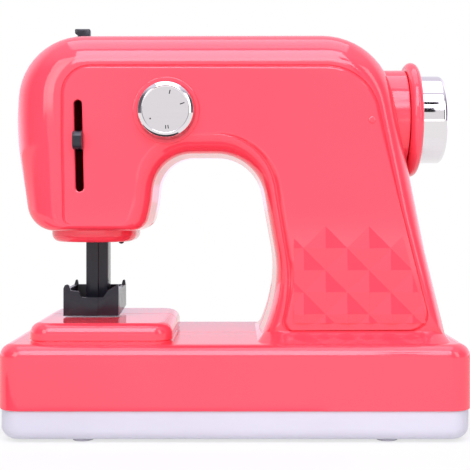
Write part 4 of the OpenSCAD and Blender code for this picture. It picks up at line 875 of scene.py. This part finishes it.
# %% Shell, tray and door screws
# Each screw is (height of its head, length of its shank); the places are those of the solids.
SHELL_SCREW, TRAY_SCREW, DOOR_SCREW = (2.2, 30), (1.1, 16), (1.1, 9)
SHELL_HEAD_Y, TRAY_HEAD_Z, DOOR_SCREW_X = 10.2, 3.5, 56.55
shell_set, tray_set, door_set = bmesh.new(), bmesh.new(), bmesh.new()
for x, z in screw_spots:
    draw_screw(shell_set, Matrix.Translation((x, SHELL_HEAD_Y, z)), *SHELL_SCREW)
face_down = Matrix.Rotation(math.radians(-90), 4, "X")
for x, y in tray_screw_spots:
    draw_screw(tray_set, Matrix.Translation((x, y, TRAY_HEAD_Z)) @ face_down, *TRAY_SCREW)
draw_screw(door_set, Matrix.Translation((DOOR_SCREW_X, 0, 0)) @ face_down, *DOOR_SCREW)
add_piece(shell_set, "screws_shell", ["shell_screws"], "housing", "steel")
add_piece(tray_set, "screws_tray", ["tray_screws"], "housing", "steel")
add_piece(door_set, "screw_door", ["door_screw"], "housing", "steel")

# %% [markdown]
# ## Floor, light and camera
# The machine stands on a plain white floor in soft studio light. The world has three levels:
# the camera sees it white, it gives only a weak fill, and shiny surfaces see it graded by
# direction, dark in front, pale behind and at the sides and overhead, with a slightly cool
# tone. This gives the gloss its shape. The floor, too, is white for the camera and for shiny
# surfaces, a little less so near the machine, where its shadow falls. From below it is clear,
# so the underside can be looked at. Five softboxes light the machine, and three black flags,
# which only shiny surfaces see, put the dark streaks into gloss and chrome.

# %% World
# Each grade is (from, to, level at the first, level at the second) of a direction's X, Y or Z.
FILL_LEVEL, SEEN_LEVEL, SHINE_HUE = 0.18, 1.0, (1, 0.95, 1.1, 1)
GRADE_BEHIND, GRADE_SIDES = (-0.1, 0.4, 0.08, 0.95), (0.3, 0.8, 1.0, 1.9)
GRADE_LOW, GRADE_OVERHEAD = (0.06, 0.15, 1.25, 0.9), (0.5, 0.8, 0.1, 0.9)


def combine(tree, operation, first, second=None):
    node = tree.nodes.new("ShaderNodeMath")
    node.operation = operation
    tree.links.new(first, node.inputs[0])
    if second is not None:
        tree.links.new(second, node.inputs[1])
    return node.outputs["Value"]


world = bpy.data.worlds.new("studio")
bpy.context.scene.world = world
world.use_nodes = True
tree = world.node_tree
background = tree.nodes["Background"]
heading = tree.nodes.new("ShaderNodeSeparateXYZ")
direction = tree.nodes.new("ShaderNodeTexCoord").outputs["Generated"]
tree.links.new(direction, heading.inputs["Vector"])
sideways = combine(tree, "ABSOLUTE", heading.outputs["X"])
behind = remap(tree, heading.outputs["Y"], *GRADE_BEHIND)
behind = combine(tree, "MULTIPLY", behind, remap(tree, sideways, *GRADE_SIDES))
behind = combine(tree, "MULTIPLY", behind, remap(tree, heading.outputs["Z"], *GRADE_LOW))
overhead = remap(tree, heading.outputs["Z"], *GRADE_OVERHEAD)
shine = combine(tree, "MAXIMUM", behind, overhead)

path = tree.nodes.new("ShaderNodeLightPath")
fill = tree.nodes.new("ShaderNodeMix")
fill.inputs["A"].default_value = FILL_LEVEL
tree.links.new(path.outputs["Is Glossy Ray"], fill.inputs["Factor"])
tree.links.new(shine, fill.inputs["B"])
level = tree.nodes.new("ShaderNodeMix")
level.inputs["B"].default_value = SEEN_LEVEL
tree.links.new(path.outputs["Is Camera Ray"], level.inputs["Factor"])
tree.links.new(fill.outputs["Result"], level.inputs["A"])
tree.links.new(level.outputs["Result"], background.inputs["Strength"])
hue = tree.nodes.new("ShaderNodeMix")
hue.data_type = "RGBA"
hue.inputs["A"].default_value = (1, 1, 1, 1)
hue.inputs["B"].default_value = SHINE_HUE
tree.links.new(path.outputs["Is Glossy Ray"], hue.inputs["Factor"])
tree.links.new(hue.outputs["Result"], background.inputs["Color"])
print("world has", len(tree.nodes), "nodes")

# %% Floor
FLOOR_HALF, FLOOR_DROP = 4.0, -0.0002
FLOOR_GREY, FLOOR_ROUGH, FLOOR_GLOW = (0.9, 0.9, 0.9, 1), 0.7, 1.0
# (near, far, share of the glow near the machine, share far from it)
GLOW_FADE = (0.11, 0.2, 0.7, 1.0)


def seen_mask(tree):
    path = tree.nodes.new("ShaderNodeLightPath")
    seen = path.outputs["Is Camera Ray"]
    for label in ("Is Glossy Ray", "Is Transmission Ray"):
        seen = combine(tree, "MAXIMUM", seen, path.outputs[label])
    return seen


bm = bmesh.new()
bmesh.ops.create_grid(bm, x_segments=2, y_segments=2, size=FLOOR_HALF)
mesh = bpy.data.meshes.new("floor")
bm.to_mesh(mesh)
bm.free()
floor = bpy.data.objects.new("floor", mesh)
floor.location.z = FLOOR_DROP
bpy.context.scene.collection.objects.link(floor)
material, tree, shader = new_material("floor_white")
shader.inputs["Base Color"].default_value = FLOOR_GREY
shader.inputs["Roughness"].default_value = FLOOR_ROUGH
glow = tree.nodes.new("ShaderNodeEmission")
glow.inputs["Strength"].default_value = FLOOR_GLOW
away = tree.nodes.new("ShaderNodeVectorMath")
away.operation = "LENGTH"
place = tree.nodes.new("ShaderNodeTexCoord").outputs["Object"]
tree.links.new(place, away.inputs[0])
fade = remap(tree, away.outputs["Value"], *GLOW_FADE)
blend = tree.nodes.new("ShaderNodeMixShader")
tree.links.new(combine(tree, "MULTIPLY", fade, seen_mask(tree)), blend.inputs["Fac"])
tree.links.new(shader.outputs["BSDF"], blend.inputs[1])
tree.links.new(glow.outputs["Emission"], blend.inputs[2])
clear = tree.nodes.new("ShaderNodeBsdfTransparent")
below = tree.nodes.new("ShaderNodeMixShader")
backside = tree.nodes.new("ShaderNodeNewGeometry").outputs["Backfacing"]
tree.links.new(backside, below.inputs["Fac"])
tree.links.new(blend.outputs["Shader"], below.inputs[1])
tree.links.new(clear.outputs["BSDF"], below.inputs[2])
tree.links.new(below.outputs["Shader"], tree.nodes["Material Output"].inputs["Surface"])
mesh.materials.append(material)
print("floor is", 2 * FLOOR_HALF, "m wide")


# %% Softboxes
COOL = (1, 0.95, 1.12)


def add_softbox(name, place, aim, width, height, watts, tint=(1, 1, 1)):
    data = bpy.data.lights.new(name, "AREA")
    data.shape = "RECTANGLE"
    data.size, data.size_y, data.energy, data.color = width, height, watts, tint
    lamp = bpy.data.objects.new(name, data)
    lamp.location = place
    lamp.rotation_euler = (Vector(aim) - Vector(place)).to_track_quat("-Z", "Y").to_euler()
    bpy.context.scene.collection.objects.link(lamp)
    print("softbox", name, "gives", watts, "W")


add_softbox("key_over", (0, -0.85, 0.95), (0, 0, 0.1), 0.88, 0.9, 11.5, COOL)
add_softbox("front", (-0.245, -1.2, 0.4), (-0.245, 0, 0.4), 1.41, 1.1, 3.9)
add_softbox("left", (-0.62, -0.8, 0.58), (0, 0, 0.15), 0.4, 0.68, 2.5)
add_softbox("right", (0.75, -0.7, 0.5), (0, 0, 0.15), 0.3, 0.8, 2.0)
add_softbox("top", (0, 0.1, 1.2), (0, 0, 0.1), 1.0, 0.9, 4.6, COOL)


# %% Black flags: only shiny surfaces see them
def add_flag(name, place, turn, width, height):
    bm = bmesh.new()
    bmesh.ops.create_grid(bm, x_segments=1, y_segments=1, size=0.5)
    bmesh.ops.scale(bm, vec=(width, height, 1), verts=bm.verts)
    mesh = bpy.data.meshes.new(name)
    bm.to_mesh(mesh)
    bm.free()
    mesh.materials.append(flag_black)
    flag = bpy.data.objects.new(name, mesh)
    flag.location = place
    flag.rotation_euler.x = math.radians(turn)
    flag.visible_camera = flag.visible_diffuse = flag.visible_shadow = False
    bpy.context.scene.collection.objects.link(flag)
    print(name, "is", width, "by", height, "m")


FLAG_GREY, FLAG_ROUGH = (0.02, 0.02, 0.02, 1), 0.9
flag_black, tree, shader = new_material("flag_black")
shader.inputs["Base Color"].default_value = FLAG_GREY
shader.inputs["Roughness"].default_value = FLAG_ROUGH
add_flag("flag_floor", (-0.14, -0.1, 0.0002), 0, 0.38, 0.07)
add_flag("flag_stand", (0.222, -0.509, 0.576), 50, 0.06, 0.09)
add_flag("flag_stand_low", (0.216, -0.617, 0.395), 69, 0.05, 0.13)

# %% Camera: level, in front of the machine, a little over half its height
LENS, SENSOR, SHIFT_Y, EYE = 78.7, 36.0, -0.0638, (0, -0.522, 0.1096)
view = bpy.data.cameras.new("camera")
view.lens, view.sensor_width, view.shift_y = LENS, SENSOR, SHIFT_Y
camera = bpy.data.objects.new("camera", view)
camera.location = EYE
camera.rotation_euler = (math.radians(90), 0, 0)
bpy.context.scene.collection.objects.link(camera)
bpy.context.scene.camera = camera
bpy.context.scene.view_settings.view_transform = "Standard"
print("camera stands at", EYE)
